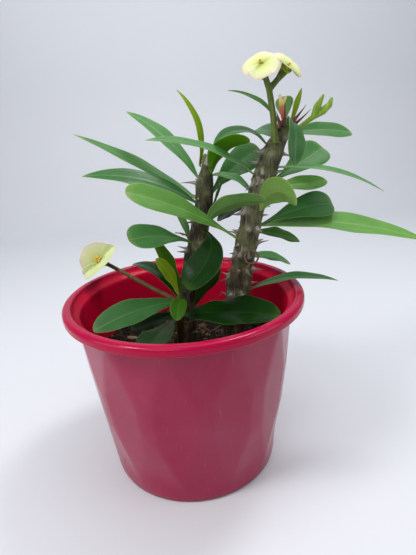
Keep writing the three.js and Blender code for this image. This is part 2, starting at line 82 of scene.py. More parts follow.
# Flowers
BRACT_FANS = 61
BRACT_REACHES = 17
BRACT_SPREAD = math.radians(118)  # to each side of a bract's middle
BRACT_HALF_THICKNESS = 0.16 * MM
BRACT_VEINS = 26.0
GLANDS = 5
STAMENS = 6

# Pot: the facet pattern follows the CAD pot's
FACET_SIDES = 12
FACET_TURN = -70
FACET_FOOT = 12 * MM
FACET_FLAT = math.cos(math.pi / FACET_SIDES)  # of the corner radius, at the middle of a side
FACET_SOFTNESS = 0.3 * MM  # the rounding of the creases between facets
LIP_HEIGHT = 7 * MM
LIP_WIDTH = 6.3 * MM
LIP_FOLD = 1.4 * MM  # the radius under the lip's outer edge
LIP_ROUND = 2.9 * MM  # the radius over it
MOUTH_ROUND = 1.5 * MM
SHOULDER_DEPTH = 7.2 * MM  # from the top down to the inside wall
INSIDE_SETBACK = 0.9 * MM  # the round inside wall, inward from the facets' middles
FOOT_ROUND = 2.2 * MM
WALL = 2 * MM
WALL_TOP_RADIUS = 79.5 * MM
FOOT_RADIUS = 64.4 * MM
FLOOR_THICKNESS = 2.4 * MM
DRAIN_HOLES = 6
DRAIN_RADIUS = 5 * MM
DRAIN_RING_RADIUS = 44 * MM

# Potting mix
MIX_GAP = 0.3 * MM  # between the mix and the pot's wall
CHIPS = 520

Z = Vector((0, 0, 1))


# ---- Shader helpers ----

class Wire:
    """A node's output, which can stand in sums and products."""

    def __init__(self, shader, socket):
        self.shader = shader
        self.socket = socket

    def __add__(self, other):
        return self.shader.math("ADD", self, other)

    def __sub__(self, other):
        return self.shader.math("SUBTRACT", self, other)

    def __rsub__(self, other):
        return self.shader.math("SUBTRACT", other, self)

    def __mul__(self, other):
        return self.shader.math("MULTIPLY", self, other)

    __radd__ = __add__


class Shader:
    """One Principled material and short ways to add nodes to it."""

    def __init__(self, name, **sockets):
        self.material = bpy.data.materials.new(name)
        self.material.use_nodes = True
        self.nodes = self.material.node_tree.nodes
        self.bsdf = self.nodes["Principled BSDF"]
        for socket, value in sockets.items():
            self.set(socket.replace("_", " "), value)
        self.object_space = self.node("TexCoord", {}, "Object")

    def put(self, socket, value):
        if isinstance(value, Wire):
            self.material.node_tree.links.new(value.socket, socket)
        elif socket.type == "RGBA" and len(value) == 3:
            socket.default_value = (*value, 1)
        else:
            socket.default_value = value

    def set(self, socket, value):
        """Give one of the Principled shader's own sockets a value or a wire."""
        self.put(self.bsdf.inputs[socket], value)

    def node(self, kind, inputs, output=0, **settings):
        """A new node with these inputs and settings, as the wire from one of its outputs."""
        node = self.nodes.new("ShaderNode" + kind)
        for setting, value in settings.items():
            setattr(node, setting, value)
        for socket, value in inputs.items():
            self.put(node.inputs[socket], value)
        return Wire(self, node.outputs[output])

    def attribute(self, name):
        return self.node("Attribute", {}, "Fac", attribute_name=name)

    def math(self, operation, first, second=0.0):
        return self.node("Math", {0: first, 1: second}, operation=operation)

    def between(self, value, low, high):
        """0 below low, 1 above high, and smooth between; low may be the larger."""
        limits = (low, high, 0.0, 1.0) if low < high else (high, low, 1.0, 0.0)
        return self.node("MapRange", dict(enumerate((value, *limits))), interpolation_type="SMOOTHSTEP")

    def stretched(self, *scale):
        """Object space, scaled along X, Y and Z."""
        return self.node("Mapping", {"Vector": self.object_space, "Scale": scale})

    def vector(self, x, y, z):
        return self.node("CombineXYZ", {0: x, 1: y, 2: z})

    def noise(self, scale, detail=3.0, roughness=0.55, vector=None, distortion=0.0):
        inputs = {"Scale": scale, "Detail": detail, "Roughness": roughness, "Distortion": distortion}
        return self.node("TexNoise", {"Vector": vector or self.object_space, **inputs})

    def cells(self, scale):
        return self.node("TexVoronoi", {"Vector": self.object_space, "Scale": scale}, "Distance")

    def ramp(self, value, *stops):
        made = self.node("ValToRGB", {0: value})
        elements = made.socket.node.color_ramp.elements
        while len(elements) < len(stops):
            elements.new(0.5)
        for element, (place, color) in zip(elements, stops):
            element.position = place
            element.color = (*color, 1)
        return made

    def mix(self, first, second, share, blend="MIX"):
        node = self.nodes.new("ShaderNodeMix")
        node.data_type = "RGBA"
        node.blend_type = blend
        for socket, value in (("Factor", share), (6, first), (7, second)):
            self.put(node.inputs[socket], value)
        return Wire(self, node.outputs[2])

    def color(self, value):
        self.set("Base Color", value)

    def roughness(self, value):
        self.set("Roughness", value)

    def rough_from(self, pattern, low, high):
        """A roughness that follows a pattern, from low to high."""
        self.roughness(self.ramp(pattern, (0.3, (low,) * 3), (0.7, (high,) * 3)))

    def bump(self, height, distance, strength=1.0):
        self.set("Normal", self.node("Bump", {"Height": height, "Distance": distance, "Strength": strength}))


def tint(color, share):
    """The colour made lighter (share over 1) or darker."""
    return tuple(min(1.0, channel * share) for channel in color)


# ---- Materials ----

def leaf_material(name, upper, lower, rib, margin, sheen=0.25, gloss=0.4):
    """A leathery leaf: mottled faces, a pale midrib, faint side veins and a thin margin."""
    shader = Shader(name, Subsurface_Weight=0.12, Subsurface_Scale=0.003, Specular_IOR_Level=sheen)
    shader.set("Subsurface Radius", (0.5, 1.0, 0.15))
    along = shader.attribute("along_mm")
    across = shader.attribute("across_mm")
    edge = shader.attribute("edge_mm")
    face = shader.attribute("upper")
    tone = shader.attribute("tone")
    side = shader.math("ABSOLUTE", across)
    place = shader.vector(across, along, tone)
    streaks = shader.noise(0.35, 4.0, vector=shader.vector(across, along * 0.18, tone))
    blotches = shader.noise(0.1, 4.0, vector=place)
    grain = shader.noise(2.2, 3.0, vector=place)
    # Side veins leave the midrib at a slant
    slant = along - side * 0.9
    drift = shader.noise(0.5, 2.0, vector=place)
    wave = shader.math("SINE", slant * 2.1 + drift * 5)
    vein = shader.between(wave + grain * 0.5, 0.85, 1.3)
    upper_face = shader.mix(tint(upper, 0.74), tint(upper, 1.3), blotches)
    upper_face = shader.mix(upper_face, tint(upper, 1.12), streaks * 0.6)
    lower_face = shader.mix(tint(lower, 0.82), tint(lower, 1.18), blotches)
    color = shader.mix(lower_face, upper_face, face)
    color = shader.mix(color, rib, vein * 0.07)
    rib_width = shader.between(side, 0.62, 0.12)
    color = shader.mix(color, rib, rib_width * 0.45)
    tip = shader.between(shader.attribute("along"), 0.9, 1.0)
    color = shader.mix(color, tint(margin, 0.9), tip * 0.35)
    foot = shader.between(shader.attribute("along"), 0.1, 0.0)
    color = shader.mix(color, rib, foot * 0.7)
    color = shader.mix(color, margin, shader.between(edge, 0.55, 0.1) * 0.6)
    brightness = 1.0 + tone * 0.1
    color = shader.mix(color, shader.vector(brightness, brightness, brightness), 1.0, "MULTIPLY")
    shader.color(color)
    shader.roughness(gloss + grain * 0.22)
    shader.bump(vein * -0.35 + grain * 0.45 + streaks * 0.5, 0.16 * MM, 0.7)
    return shader.material


# Each kind of leaf: upper face, lower face, midrib and margin, then its sheen and its gloss. Green and young
# are the leaves' own colours; the other kinds are copies of the green with painted light and shade: darker
# for dark, deep and shade, lighter for bright and pale, and a painted backlit glow for vivid
LEAF_LOOKS_WITH_PAINTED_LIGHT = {
    "green": ((0.060, 0.200, 0.048), (0.12, 0.26, 0.065), (0.24, 0.40, 0.13), (0.33, 0.42, 0.18)),
    "bright": ((0.100, 0.255, 0.042), (0.16, 0.30, 0.065), (0.27, 0.43, 0.12), (0.34, 0.42, 0.13)),
    "pale": ((0.135, 0.295, 0.085), (0.20, 0.35, 0.11), (0.31, 0.47, 0.17), (0.38, 0.46, 0.19)),
    "shade": ((0.028, 0.115, 0.024), (0.06, 0.16, 0.035), (0.12, 0.26, 0.08), (0.20, 0.28, 0.10), 0.3, 0.28),
    "vivid": ((0.065, 0.200, 0.003), (0.07, 0.20, 0.005), (0.12, 0.28, 0.02), (0.2, 0.3, 0.04), 0.06),
    "deep": ((0.024, 0.090, 0.003), (0.04, 0.12, 0.005), (0.06, 0.17, 0.015), (0.12, 0.2, 0.02), 0.1),
    "dark": ((0.004, 0.025, 0.002), (0.02, 0.07, 0.01), (0.025, 0.085, 0.01), (0.07, 0.13, 0.02), 0.1, 0.18),
    "young": ((0.17, 0.285, 0.006), (0.23, 0.34, 0.010), (0.32, 0.44, 0.03), (0.42, 0.34, 0.07), 0.1),
}
# The leaves of each kind, set by the painted light or shade each leaf gets, and by age for the young ones;
# all the others are green
LEAF_PAINTED_LIGHT_AND_AGE = {
    "dark": "basal_1 basal_2 basal_5 basal_7 left_2 left_6 main_8",
    "deep": "basal_4 left_3 left_10 main_4 main_18",
    "shade": "basal_3 left_8 left_11 main_1 main_6 main_13 main_14 main_16",
    "vivid": "left_13",
    "bright": "main_3 main_5 main_7 main_9",
    "pale": "left_5 main_17",
    "young": "basal_6 left_14 main_19",
}


def bark_material(name, shade):
    """Grey-brown bark with furrows and paler scars, greener towards the growing tip."""
    shader = Shader(name, Specular_IOR_Level=0.2)
    youth = shader.attribute("youth")
    scar = shader.attribute("scar")
    tall = shader.stretched(1.0, 1.0, 0.22)
    furrows = shader.noise(420, 6.0, 0.68, tall, 0.8)
    patches = shader.noise(90, 4.0)
    flecks = shader.noise(1400, 3.0)
    # The colour follows the furrows as the bump does: the bark's own grey-brown, with painted shade near
    # black in the furrows and painted highlights pale grey on the ridges
    old = shader.ramp(
        furrows,
        (0.32, tint((0.010, 0.010, 0.006), shade)),
        (0.45, tint((0.050, 0.046, 0.028), shade)),
        (0.57, tint((0.13, 0.117, 0.078), shade)),
        (0.68, tint((0.36, 0.325, 0.25), shade)),
    )
    green = shader.ramp(patches, (0.35, (0.05, 0.062, 0.018)), (0.68, (0.14, 0.155, 0.06)))
    color = shader.mix(old, green, shader.between(patches, 0.42, 0.62) * 0.5)
    color = shader.mix(color, green, youth * 0.55)
    color = shader.mix(color, (0.13, 0.19, 0.045), shader.between(youth, 0.7, 0.95) * 0.8)
    color = shader.mix(color, (0.33, 0.30, 0.23), scar * 0.6)
    color = shader.mix(color, (0.012, 0.011, 0.008), shader.between(flecks, 0.64, 0.74))
    shader.color(color)
    shader.rough_from(patches, 0.62, 0.85)
    shader.bump(furrows + flecks * 0.35, 0.5 * MM, 0.85)
    return shader.material


def spine_material(name, root, middle, tip):
    """A hard thorn, paler at its root or its tip, with fine length-wise grain."""
    shader = Shader(name)
    along = shader.attribute("along")
    grain = shader.noise(900, 3.0, vector=shader.stretched(1.0, 1.0, 0.5))
    color = shader.ramp(along, (0.0, root), (0.35, middle), (1.0, tip))
    color = shader.mix(color, tint(middle, 0.5), shader.between(grain, 0.55, 0.8))
    shader.color(color)
    shader.rough_from(grain, 0.42, 0.62)
    shader.bump(grain, 0.12 * MM, 0.6)
    return shader.material


def stalk_material(name, base, lit, speck, speck_share):
    """A smooth soft stem with lengthwise streaks and small specks."""
    shader = Shader(name, Subsurface_Weight=0.12, Subsurface_Scale=0.002, Specular_IOR_Level=0.25)
    streaks = shader.noise(260, 4.0, vector=shader.stretched(1.0, 1.0, 0.2))
    specks = shader.noise(1500, 2.0)
    color = shader.ramp(streaks, (0.3, tint(base, 0.7)), (0.52, base), (0.72, lit))
    color = shader.mix(color, speck, shader.between(specks, 0.56, 0.68) * speck_share)
    shader.color(color)
    shader.rough_from(streaks, 0.42, 0.58)
    shader.bump(streaks + specks * 0.3, 0.2 * MM, 0.5)
    return shader.material


def cluster_material():
    """The young cluster: red at its foot, yellow-green and pale at its tips."""
    shader = Shader("young_cluster", Subsurface_Weight=0.2, Subsurface_Scale=0.002)
    grain = shader.noise(900, 3.0)
    low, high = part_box("young_flower_cluster")
    share = shader.between(shader.node("SeparateXYZ", {0: shader.object_space}, "Z"), low.z, high.z)
    color = shader.ramp(
        share,
        (0.0, (0.32, 0.045, 0.03)),
        (0.5, (0.55, 0.13, 0.06)),
        (0.72, (0.62, 0.52, 0.12)),
        (1.0, (0.80, 0.74, 0.42)),
    )
    shader.color(shader.mix(color, (0.36, 0.10, 0.05), grain * 0.25))
    shader.rough_from(grain, 0.45, 0.6)
    shader.bump(grain, 0.1 * MM, 0.5)
    return shader.material


def bract_material():
    """Creamy yellow petal-like bracts with fan veins, a green-yellow throat and a pink rim."""
    shader = Shader("bract", Subsurface_Weight=0.3, Subsurface_Scale=0.003)
    shader.set("Subsurface Radius", (1.0, 0.9, 0.4))
    reach = shader.attribute("along")
    fan = shader.attribute("fan")
    wave = shader.math("SINE", fan * BRACT_VEINS)
    soft = shader.noise(160, 4.0)
    veins = shader.between(wave + soft, 0.9, 1.5)
    color = shader.ramp(
        reach,
        (0.0, (0.30, 0.36, 0.02)),
        (0.25, (0.56, 0.63, 0.10)),
        (0.55, (0.69, 0.74, 0.29)),
        (0.88, (0.72, 0.74, 0.40)),
        (1.0, (0.80, 0.46, 0.34)),
    )
    color = shader.mix(color, (0.46, 0.60, 0.14), veins * 0.22)
    color = shader.mix(color, (0.86, 0.86, 0.55), soft * 0.3)
    greener = shader.mix(color, (0.50, 0.62, 0.26), 0.8)
    color = shader.mix(color, greener, shader.attribute("tone"))
    under = shader.mix(color, (0.56, 0.62, 0.16), shader.between(reach, 1.0, 0.1))
    shader.color(shader.mix(color, under, shader.attribute("under")))
    shader.rough_from(soft, 0.5, 0.66)
    shader.bump(veins * -0.6 + soft, 0.18 * MM, 0.6)
    return shader.material


def cyathium_material():
    """Waxy orange-yellow glands around a green-yellow cup."""
    shader = Shader("cyathium", Subsurface_Weight=0.15, Subsurface_Scale=0.001)
    grain = shader.noise(1300, 3.0)
    gold, orange, yellow = (0.66, 0.40, 0.03), (0.46, 0.19, 0.015), (0.66, 0.62, 0.08)
    shader.color(shader.ramp(grain, (0.34, orange), (0.5, gold), (0.66, yellow)))
    shader.rough_from(grain, 0.28, 0.5)
    shader.bump(grain, 0.12 * MM, 0.6)
    return shader.material


def pot_material():
    """Moulded crimson plastic: a clean glossy lip over a slightly dusty, scuffed wall, with painted light on
    the lip and inside and painted shade at the foot.
    """
    shader = Shader("pot_plastic", Coat_Weight=0.08, Coat_Roughness=0.12)
    dust = shader.noise(26, 5.0, 0.6)
    haze = shader.noise(9, 3.0, 0.5)
    scuffs = shader.noise(520, 2.0, 0.5, shader.stretched(1.0, 1.0, 0.08))
    specks = shader.cells(260)
    lip = shader.attribute("lip")
    inside = shader.attribute("inside")
    foot = shader.attribute("foot")
    wall = shader.mix((0.27, 0.001, 0.038), (0.32, 0.002, 0.052), haze)
    dusty = shader.mix(wall, (0.42, 0.11, 0.17), shader.between(dust, 0.3, 0.9) * 0.16)
    dusty = shader.mix(dusty, (0.50, 0.20, 0.26), shader.between(scuffs, 0.62, 0.8) * 0.1)
    # Painted shade: the foot and the underside are darker
    color = shader.mix(dusty, (0.20, 0.01, 0.035), foot * 0.5)
    # Painted light: the inside is a lighter crimson than the wall, to offset the shade within the pot
    color = shader.mix(color, (0.50, 0.0005, 0.028), inside)
    # The lip: clean crimson without dust, lighter than the wall as painted light on the pot's top
    color = shader.mix(color, (0.39, 0.001, 0.042), lip)
    grit = shader.between(specks, 0.16, 0.05) * shader.between(dust, 0.5, 0.62)
    color = shader.mix(color, (0.09, 0.03, 0.03), grit * 0.5)
    shader.color(color)
    shader.set("Specular IOR Level", 0.34 - inside * 0.255 - lip * 0.17)
    shader.roughness(0.23 + inside * 0.3 - lip * 0.03)
    shader.bump(haze + scuffs * 0.04, 0.3 * MM, 0.25)
    return shader.material


def soil_material():
    """Damp potting mix, almost black, with brown crumbs and paler fibres."""
    shader = Shader("potting_mix", Specular_IOR_Level=0.12)
    crumbs = shader.cells(520)
    coarse = shader.noise(240, 6.0, 0.7)
    fibres = shader.noise(900, 2.0, 0.5, shader.stretched(1.0, 0.15, 1.0))
    black, dark, brown = (0.002, 0.002, 0.001), (0.008, 0.007, 0.004), (0.045, 0.03, 0.02)
    color = shader.ramp(coarse, (0.3, black), (0.52, dark), (0.72, brown))
    color = shader.mix(color, black, shader.between(crumbs, 0.25, 0.05))
    color = shader.mix(color, (0.16, 0.11, 0.07), shader.between(fibres, 0.66, 0.76) * 0.6)
    shader.color(color)
    shader.rough_from(coarse, 0.6, 0.95)
    shader.bump(coarse + crumbs * 0.6, 0.9 * MM, 1.0)
    return shader.material


def chip_material():
    """Composted bark chips, each in its own brown."""
    shader = Shader("bark_chips", Specular_IOR_Level=0.2)
    tone = shader.attribute("tone")
    grain = shader.noise(700, 4.0, 0.6, shader.stretched(1.0, 0.3, 1.0))
    color = shader.ramp(
        tone,
        (0.0, (0.012, 0.008, 0.005)),
        (0.5, (0.06, 0.035, 0.02)),
        (0.85, (0.15, 0.09, 0.055)),
        (1.0, (0.28, 0.20, 0.14)),
    )
    shader.color(shader.mix(color, (0.012, 0.0078, 0.0048), shader.between(grain, 0.45, 0.75)))
    shader.rough_from(grain, 0.7, 0.95)
    shader.bump(grain, 0.5 * MM, 0.9)
    return shader.material


def dry_material(name, shade):
    """Dead straw-brown tissue."""
    shader = Shader(name)
    grain = shader.noise(600, 4.0, 0.6)
    dark, straw, pale = (0.16, 0.09, 0.04), (0.42, 0.29, 0.15), (0.62, 0.49, 0.32)
    stops = [(place, tint(color, shade)) for place, color in ((0.32, dark), (0.5, straw), (0.7, pale))]
    shader.color(shader.ramp(grain, *stops))
    shader.rough_from(grain, 0.75, 0.95)
    shader.bump(grain, 0.35 * MM, 0.9)
    return shader.material


def floor_material():
    """Pale grey, a little uneven."""
    shader = Shader("pale_floor", Roughness=0.55)
    shader.color(shader.mix((0.66, 0.675, 0.715), (0.70, 0.715, 0.755), shader.noise(3, 3.0)))
    return shader.material


# ---- Mesh helpers ----

def loft(rings, start, end):
    """Points and faces of a closed body through rings, closed by a point at each end."""
    count, columns = rings.shape[:2]
    points = np.concatenate([[start], rings.reshape(-1, 3), [end]])
    here = 1 + np.arange(count * columns).reshape(count, columns)
    beside = np.roll(here, -1, axis=1)
    faces = np.stack([here[:-1], beside[:-1], beside[1:], here[1:]], -1).reshape(-1, 4).tolist()
    last = len(points) - 1
    for column in range(columns):
        faces.append([0, int(beside[0, column]), int(here[0, column])])
        faces.append([last, int(here[-1, column]), int(beside[-1, column])])
    return points, faces


def joined(parts):
    """Several (points, faces) bodies as one."""
    points, faces, offset = [], [], 0
    for part_points, part_faces in parts:
        points.append(part_points)
        faces += [[corner + offset for corner in face] for face in part_faces]
        offset += len(part_points)
    return np.concatenate(points), faces


def capped(start, grid, end):
    """A loft's grid of values in the order of its points, with a value for each end."""
    return np.concatenate([[start], np.ravel(grid), [end]])


def placed(name, data):
    """A new object in the scene."""
    made = bpy.data.objects.new(name, data)
    bpy.context.scene.collection.objects.link(made)
    return made


def applied(thing):
    """A new mesh with the object's modifiers worked in."""
    bpy.context.view_layer.update()
    return bpy.data.meshes.new_from_object(thing.evaluated_get(bpy.context.evaluated_depsgraph_get()))


def corners(mesh):
    return np.array([vertex.co for vertex in mesh.vertices], float)


def full_turn(count):
    return np.linspace(0, 2 * math.pi, count, endpoint=False)


def ramped(values, low, high):
    """0 below low and 1 above high."""
    return np.clip((values - low) / (high - low), 0, 1)


def smooth_ramped(values, low, high):
    share = ramped(values, low, high)
    return share * share * (3 - 2 * share)


def piece(name, points, faces, material, nodes=(), attributes=None):
    """A smooth-shaded mesh that rides on the frame and stands for these CAD nodes."""
    mesh = bpy.data.meshes.new(name)
    mesh.from_pydata(np.asarray(points, float).tolist(), [], faces)
    for label, values in (attributes or {}).items():
        layer = mesh.attributes.new(label, "FLOAT", "POINT")
        layer.data.foreach_set("value", np.asarray(values, np.float32))
    edit = bmesh.new()
    edit.from_mesh(mesh)
    bmesh.ops.recalc_face_normals(edit, faces=edit.faces)
    edit.to_mesh(mesh)
    edit.free()
    mesh.polygons.foreach_set("use_smooth", [True] * len(mesh.polygons))
    mesh.materials.append(material)
    made = placed(name, mesh)
    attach(made, "root")
    if nodes:
        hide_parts(*nodes)
    return made


def unit(vectors):
    return vectors / np.linalg.norm(vectors, axis=-1, keepdims=True)


def resampled(rows, fine):
    """Rows of values with `fine` steps between each two, on a smooth curve through them."""
    rows = np.asarray(rows, float)
    before = np.concatenate([[2 * rows[0] - rows[1]], rows[:-1]])
    after = np.concatenate([rows[1:], [2 * rows[-1] - rows[-2]]])
    slope = (after - before) / 2
    made = []
    for index in range(len(rows) - 1):
        for step in range(fine):
            t = step / fine
            made.append(
                rows[index] * (2 * t**3 - 3 * t**2 + 1)
                + slope[index] * (t**3 - 2 * t**2 + t)
                + rows[index + 1] * (3 * t**2 - 2 * t**3)
                + slope[index + 1] * (t**3 - t**2)
            )
    return np.array([*made, rows[-1]])


def welded(node):
    """A CAD node's points without doubles, and each point's neighbours."""
    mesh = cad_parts[node].data
    all_points = corners(mesh)
    keys, first, index = np.unique(
        np.round(all_points / (0.001 * MM)), axis=0, return_index=True, return_inverse=True
    )
    index = index.ravel()
    near = [set() for _ in keys]
    for polygon in mesh.polygons:
        ring = [int(index[vertex]) for vertex in polygon.vertices]
        for a, b in zip(ring, ring[1:] + ring[:1]):
            if a != b:
                near[a].add(b)
                near[b].add(a)
    return all_points[first], near


def cad_rings(node, sides):
    """The rings of a lofted CAD node, from its foot to its tip, and its tip."""
    points, near = welded(node)
    ends = [index for index, others in enumerate(near) if len(others) == sides]
    off_centre = [np.linalg.norm(points[end] - points[list(near[end])].mean(0)) for end in ends]
    foot = ends[int(np.argmin(off_centre))]
    seen = {foot}
    layer = sorted(near[foot])
    rings = []
    while len(layer) == sides:
        seen.update(layer)
        cycle = [layer[0]]
        while len(cycle) < sides:
            step = [other for other in layer if other in near[cycle[-1]] and other not in cycle]
            cycle.append(step[0])
        rings.append(points[cycle])
        layer = sorted(set().union(*(near[index] for index in layer)) - seen)
    return rings, points[layer[0]]


def rough(point, scale, seed=0.0):
    """Smooth noise from -1 to 1 at a point."""
    return noise.noise(Vector(point) * scale + Vector((seed, seed * 1.7, seed * 2.3)))


# ---- Leaves ----

def leaf_stations(node):
    """Rows of centre, side, normal and half width along a CAD leaf, from foot to tip."""
    rings, tip = cad_rings(node, 4)
    widths = [max(np.linalg.norm(ring[0] - ring[2]), np.linalg.norm(ring[1] - ring[3])) for ring in rings]
    widest = int(np.argmax(widths))

    def split(ring, normal):
        """The ring's flat pair of points and its thin pair, lower one first."""
        pairs = [(ring[0], ring[2]), (ring[1], ring[3])]
        if normal is None:
            pairs.sort(key=lambda pair: np.linalg.norm(pair[0] - pair[1]))
        else:
            pairs.sort(key=lambda pair: -abs(np.dot(unit(pair[0] - pair[1]), normal)))
        (one, two), edges = pairs
        raised = (edges[0] + edges[1]) / 2 - (one + two) / 2
        toward = raised if normal is None else normal
        low, high = (one, two) if np.dot(two - one, toward) > 0 else (two, one)
        return (low, high), edges

    rows = [None] * len(rings)

    def follow(order, normal, side):
        for index in order:
            (low, high), edges = split(rings[index], normal)
            normal = unit(high - low)
            span = edges[0] - edges[1]
            if side is not None and np.dot(span, side) < 0:
                span = -span
            side = unit(span)
            rows[index] = np.concatenate([(low + high) / 2, side, normal, [np.linalg.norm(span) / 2]])
        return normal, side

    normal, side = follow([widest], None, None)
    follow(range(widest + 1, len(rings)), normal, side)
    follow(range(widest - 1, -1, -1), normal, side)
    last = rows[-1].copy()
    last[:3] = tip
    last[9] = 0
    return np.array([*rows, last])


def stem_foot(row):
    """The station where a leaf starts, inside the nearest stem."""
    start = Vector(row[:3])
    hits = [tree.find_nearest(start)[0] for tree in STEM_TREES]
    skin = min(hits, key=lambda hit: (hit - start).length)
    foot = row.copy()
    foot[:3] = skin + (skin - start).normalized() * FOOT_DEPTH
    return foot


def leaf_body(rows, dice, curl=1.0, foot=None):
    """A closed thin blade over stations, with its shading attributes."""
    if foot is not None:
        rows = np.array([foot, *rows])
    fine = resampled(rows, LEAF_ROWS)[:-1]
    centre, half = fine[:, :3], np.maximum(fine[:, 9:], 0.02 * MM)
    normal = unit(fine[:, 6:9])
    side = unit(fine[:, 3:6] - normal * (fine[:, 3:6] * normal).sum(1, keepdims=True))
    normal = unit(np.cross(side, np.cross(normal, side)))
    along = np.concatenate([[0], np.cumsum(np.linalg.norm(np.diff(centre, axis=0), axis=1))])[:, None]
    share = along / along[-1]
    # Columns go over the upper face and back under the lower one, from -1 to 1 and back
    over = np.sin(np.linspace(-math.pi / 2, math.pi / 2, LEAF_COLUMNS))
    column = np.concatenate([over, over[-2:0:-1]])
    upper = np.concatenate([np.ones(LEAF_COLUMNS), np.zeros(LEAF_COLUMNS - 2)])
    up_down = np.where(upper > 0.5, 1.0, -1.0)
    up_down[[0, LEAF_COLUMNS - 1]] = 0
    phases = [dice.uniform(0, 2 * math.pi) for _ in range(4)]
    waves = dice.uniform(1.3, 2.4)
    tone = dice.uniform(-1, 1)
    right = column > 0
    bend = (np.sqrt(column**2 + 0.02) - 0.14) / 0.87 * FOLD * half
    ripple = np.sin(2 * math.pi * waves * share + np.where(right, phases[0], phases[1]))
    small = np.sin(np.where(right, 17, 15) * share + np.where(right, phases[2], phases[3]))
    wave = curl * half * column**2 * (0.085 * ripple + 0.03 * small)
    wave = wave * np.sin(math.pi * np.minimum(1, share * 1.15))
    recurve = -0.05 * half * column**4
    arch = np.sqrt(np.clip(1 - column**2, 0, 1))
    thick = MARGIN_HALF_THICKNESS + (LEAF_HALF_THICKNESS * (1.7 - share) - MARGIN_HALF_THICKNESS) * arch
    thick = np.maximum(thick, 0.42 * half * arch * np.maximum(0.0, 1 - share * 9))
    rib = np.exp(-((column * half / RIB_HALF_WIDTH) ** 2)) * (1 - share) * np.minimum(1, share * 8)
    groove = -np.where(upper > 0.5, RIB_GROOVE, RIB_KEEL) * rib
    height = bend + wave + recurve + up_down * thick + groove
    rings = centre[:, None] + side[:, None] * (column * half)[..., None] + normal[:, None] * height[..., None]
    points, faces = loft(rings, rings[0].mean(0), rows[-1, :3])
    patterns = {
        "along": share,
        "along_mm": along / MM,
        "across_mm": column * half / MM,
        "edge_mm": (1 - abs(column)) * half / MM,
        "upper": upper,
        "tone": tone,
    }
    attributes = {}
    for label, values in patterns.items():
        grid = np.broadcast_to(values, height.shape)
        attributes[label] = capped(grid[0].mean(), grid, grid[-1].mean())
    return points, faces, attributes


def surface_tree(node):
    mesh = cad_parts[node].data
    return BVHTree.FromPolygons(corners(mesh).tolist(), [list(polygon.vertices) for polygon in mesh.polygons])


def make_leaves():
    """A blade for every CAD leaf, each with its own ripple and tone."""
    materials = {kind: leaf_material("leaf_" + kind, *look) for kind, look in LEAF_LOOKS_WITH_PAINTED_LIGHT.items()}
    kind_of = {"leaf_" + name: kind for kind, names in LEAF_PAINTED_LIGHT_AND_AGE.items() for name in names.split()}
    for node in sorted(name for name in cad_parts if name.startswith("leaf_")):
        dice = random.Random(node)
        rows = leaf_stations(node)
        points, faces, attributes = leaf_body(rows, dice, foot=stem_foot(rows[0]))
        # Painted light and shade: each leaf gets a lighter or darker copy of the green, except the young ones
        material = materials[kind_of.get(node, "green")]
        piece(node + "_blade", points, faces, material, [node], attributes)


def make_dry_thread(axis):
    """A dry curly thread that lies against the main stem in one loose loop."""
    above_mix = 69 * MM
    loop = 5.5 * MM
    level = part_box("potting_mix")[1].z + above_mix
    row = axis[int(np.argmin(np.abs(axis[:, 2] - level)))]
    centre = row[:3] + np.array([3.6 * MM, -row[3] - 2.4 * MM, 0])
    lead_in = np.array([(-12, -8.5, -9.5), (-7, -11.4, -10), (-2, -12, -8)]) * MM
    points = list(row[:3] + lead_in)
    for step in range(34):
        turn = math.radians(-100 + step * 17)
        reach = loop * (1 - 0.008 * step)
        forward = (1 - 0.06 * step) * MM
        points.append(centre + np.array([reach * math.cos(turn), forward, reach * math.sin(turn)]))
    centres = resampled(np.array(points), 4)
    points, faces = tube_body(centres, np.full(len(centres), 0.4 * MM), 8, 0.18 * MM, 2)
    piece("dry_thread", points, faces, DRY_THREAD)


def make_dry_twigs():
    """Dead twigs and stalks that lie tangled between the feet of the stems."""
    dice = random.Random(17)
    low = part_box("potting_mix")[1].z
    feet = [np.array(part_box(node)[0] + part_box(node)[1]) / 2 for node in ("main_stem", "left_stem")]
    bodies = []
    for _ in range(TWIGS):
        share = dice.uniform(-0.1, 1.0)
        start = feet[0] * share + feet[1] * (1 - share)
        start += np.array([-8, dice.uniform(-10, 8), 0]) * MM
        start[2] = low + dice.uniform(-2, 22) * MM
        heading = dice.uniform(0, 2 * math.pi)
        step = np.array([math.cos(heading), math.sin(heading), dice.uniform(-0.4, 0.5)])
        step = step * dice.uniform(4, 7) * MM
        points = [start]
        for _ in range(4):
            step = step + np.array([dice.uniform(-1.6, 1.6) for _ in range(3)]) * MM
            points.append(points[-1] + step)
        centres = resampled(np.array(points), 5)
        radii = np.linspace(1, 0.4, len(centres)) * dice.uniform(0.3, 0.6) * MM
        bodies.append(tube_body(centres, radii, 7, 0.15 * MM, dice.uniform(0, 9)))
    points, faces = joined(bodies)
    piece("dry_twigs", points, faces, DRY_THREAD)


def make_withered_scrap():
    """A dry scrap, crumpled from a leaf's blade."""
    dice = random.Random(5)
    points, faces, attributes = leaf_body(leaf_stations("withered_scrap"), dice, curl=5.0)
    for index, point in enumerate(points):
        points[index] += np.array([rough(point, 500, seed) for seed in (1, 2, 3)]) * 0.6 * MM
    piece("withered_scrap_leaf", points, faces, DRY, ["withered_scrap"], attributes)


# ---- Stems ----

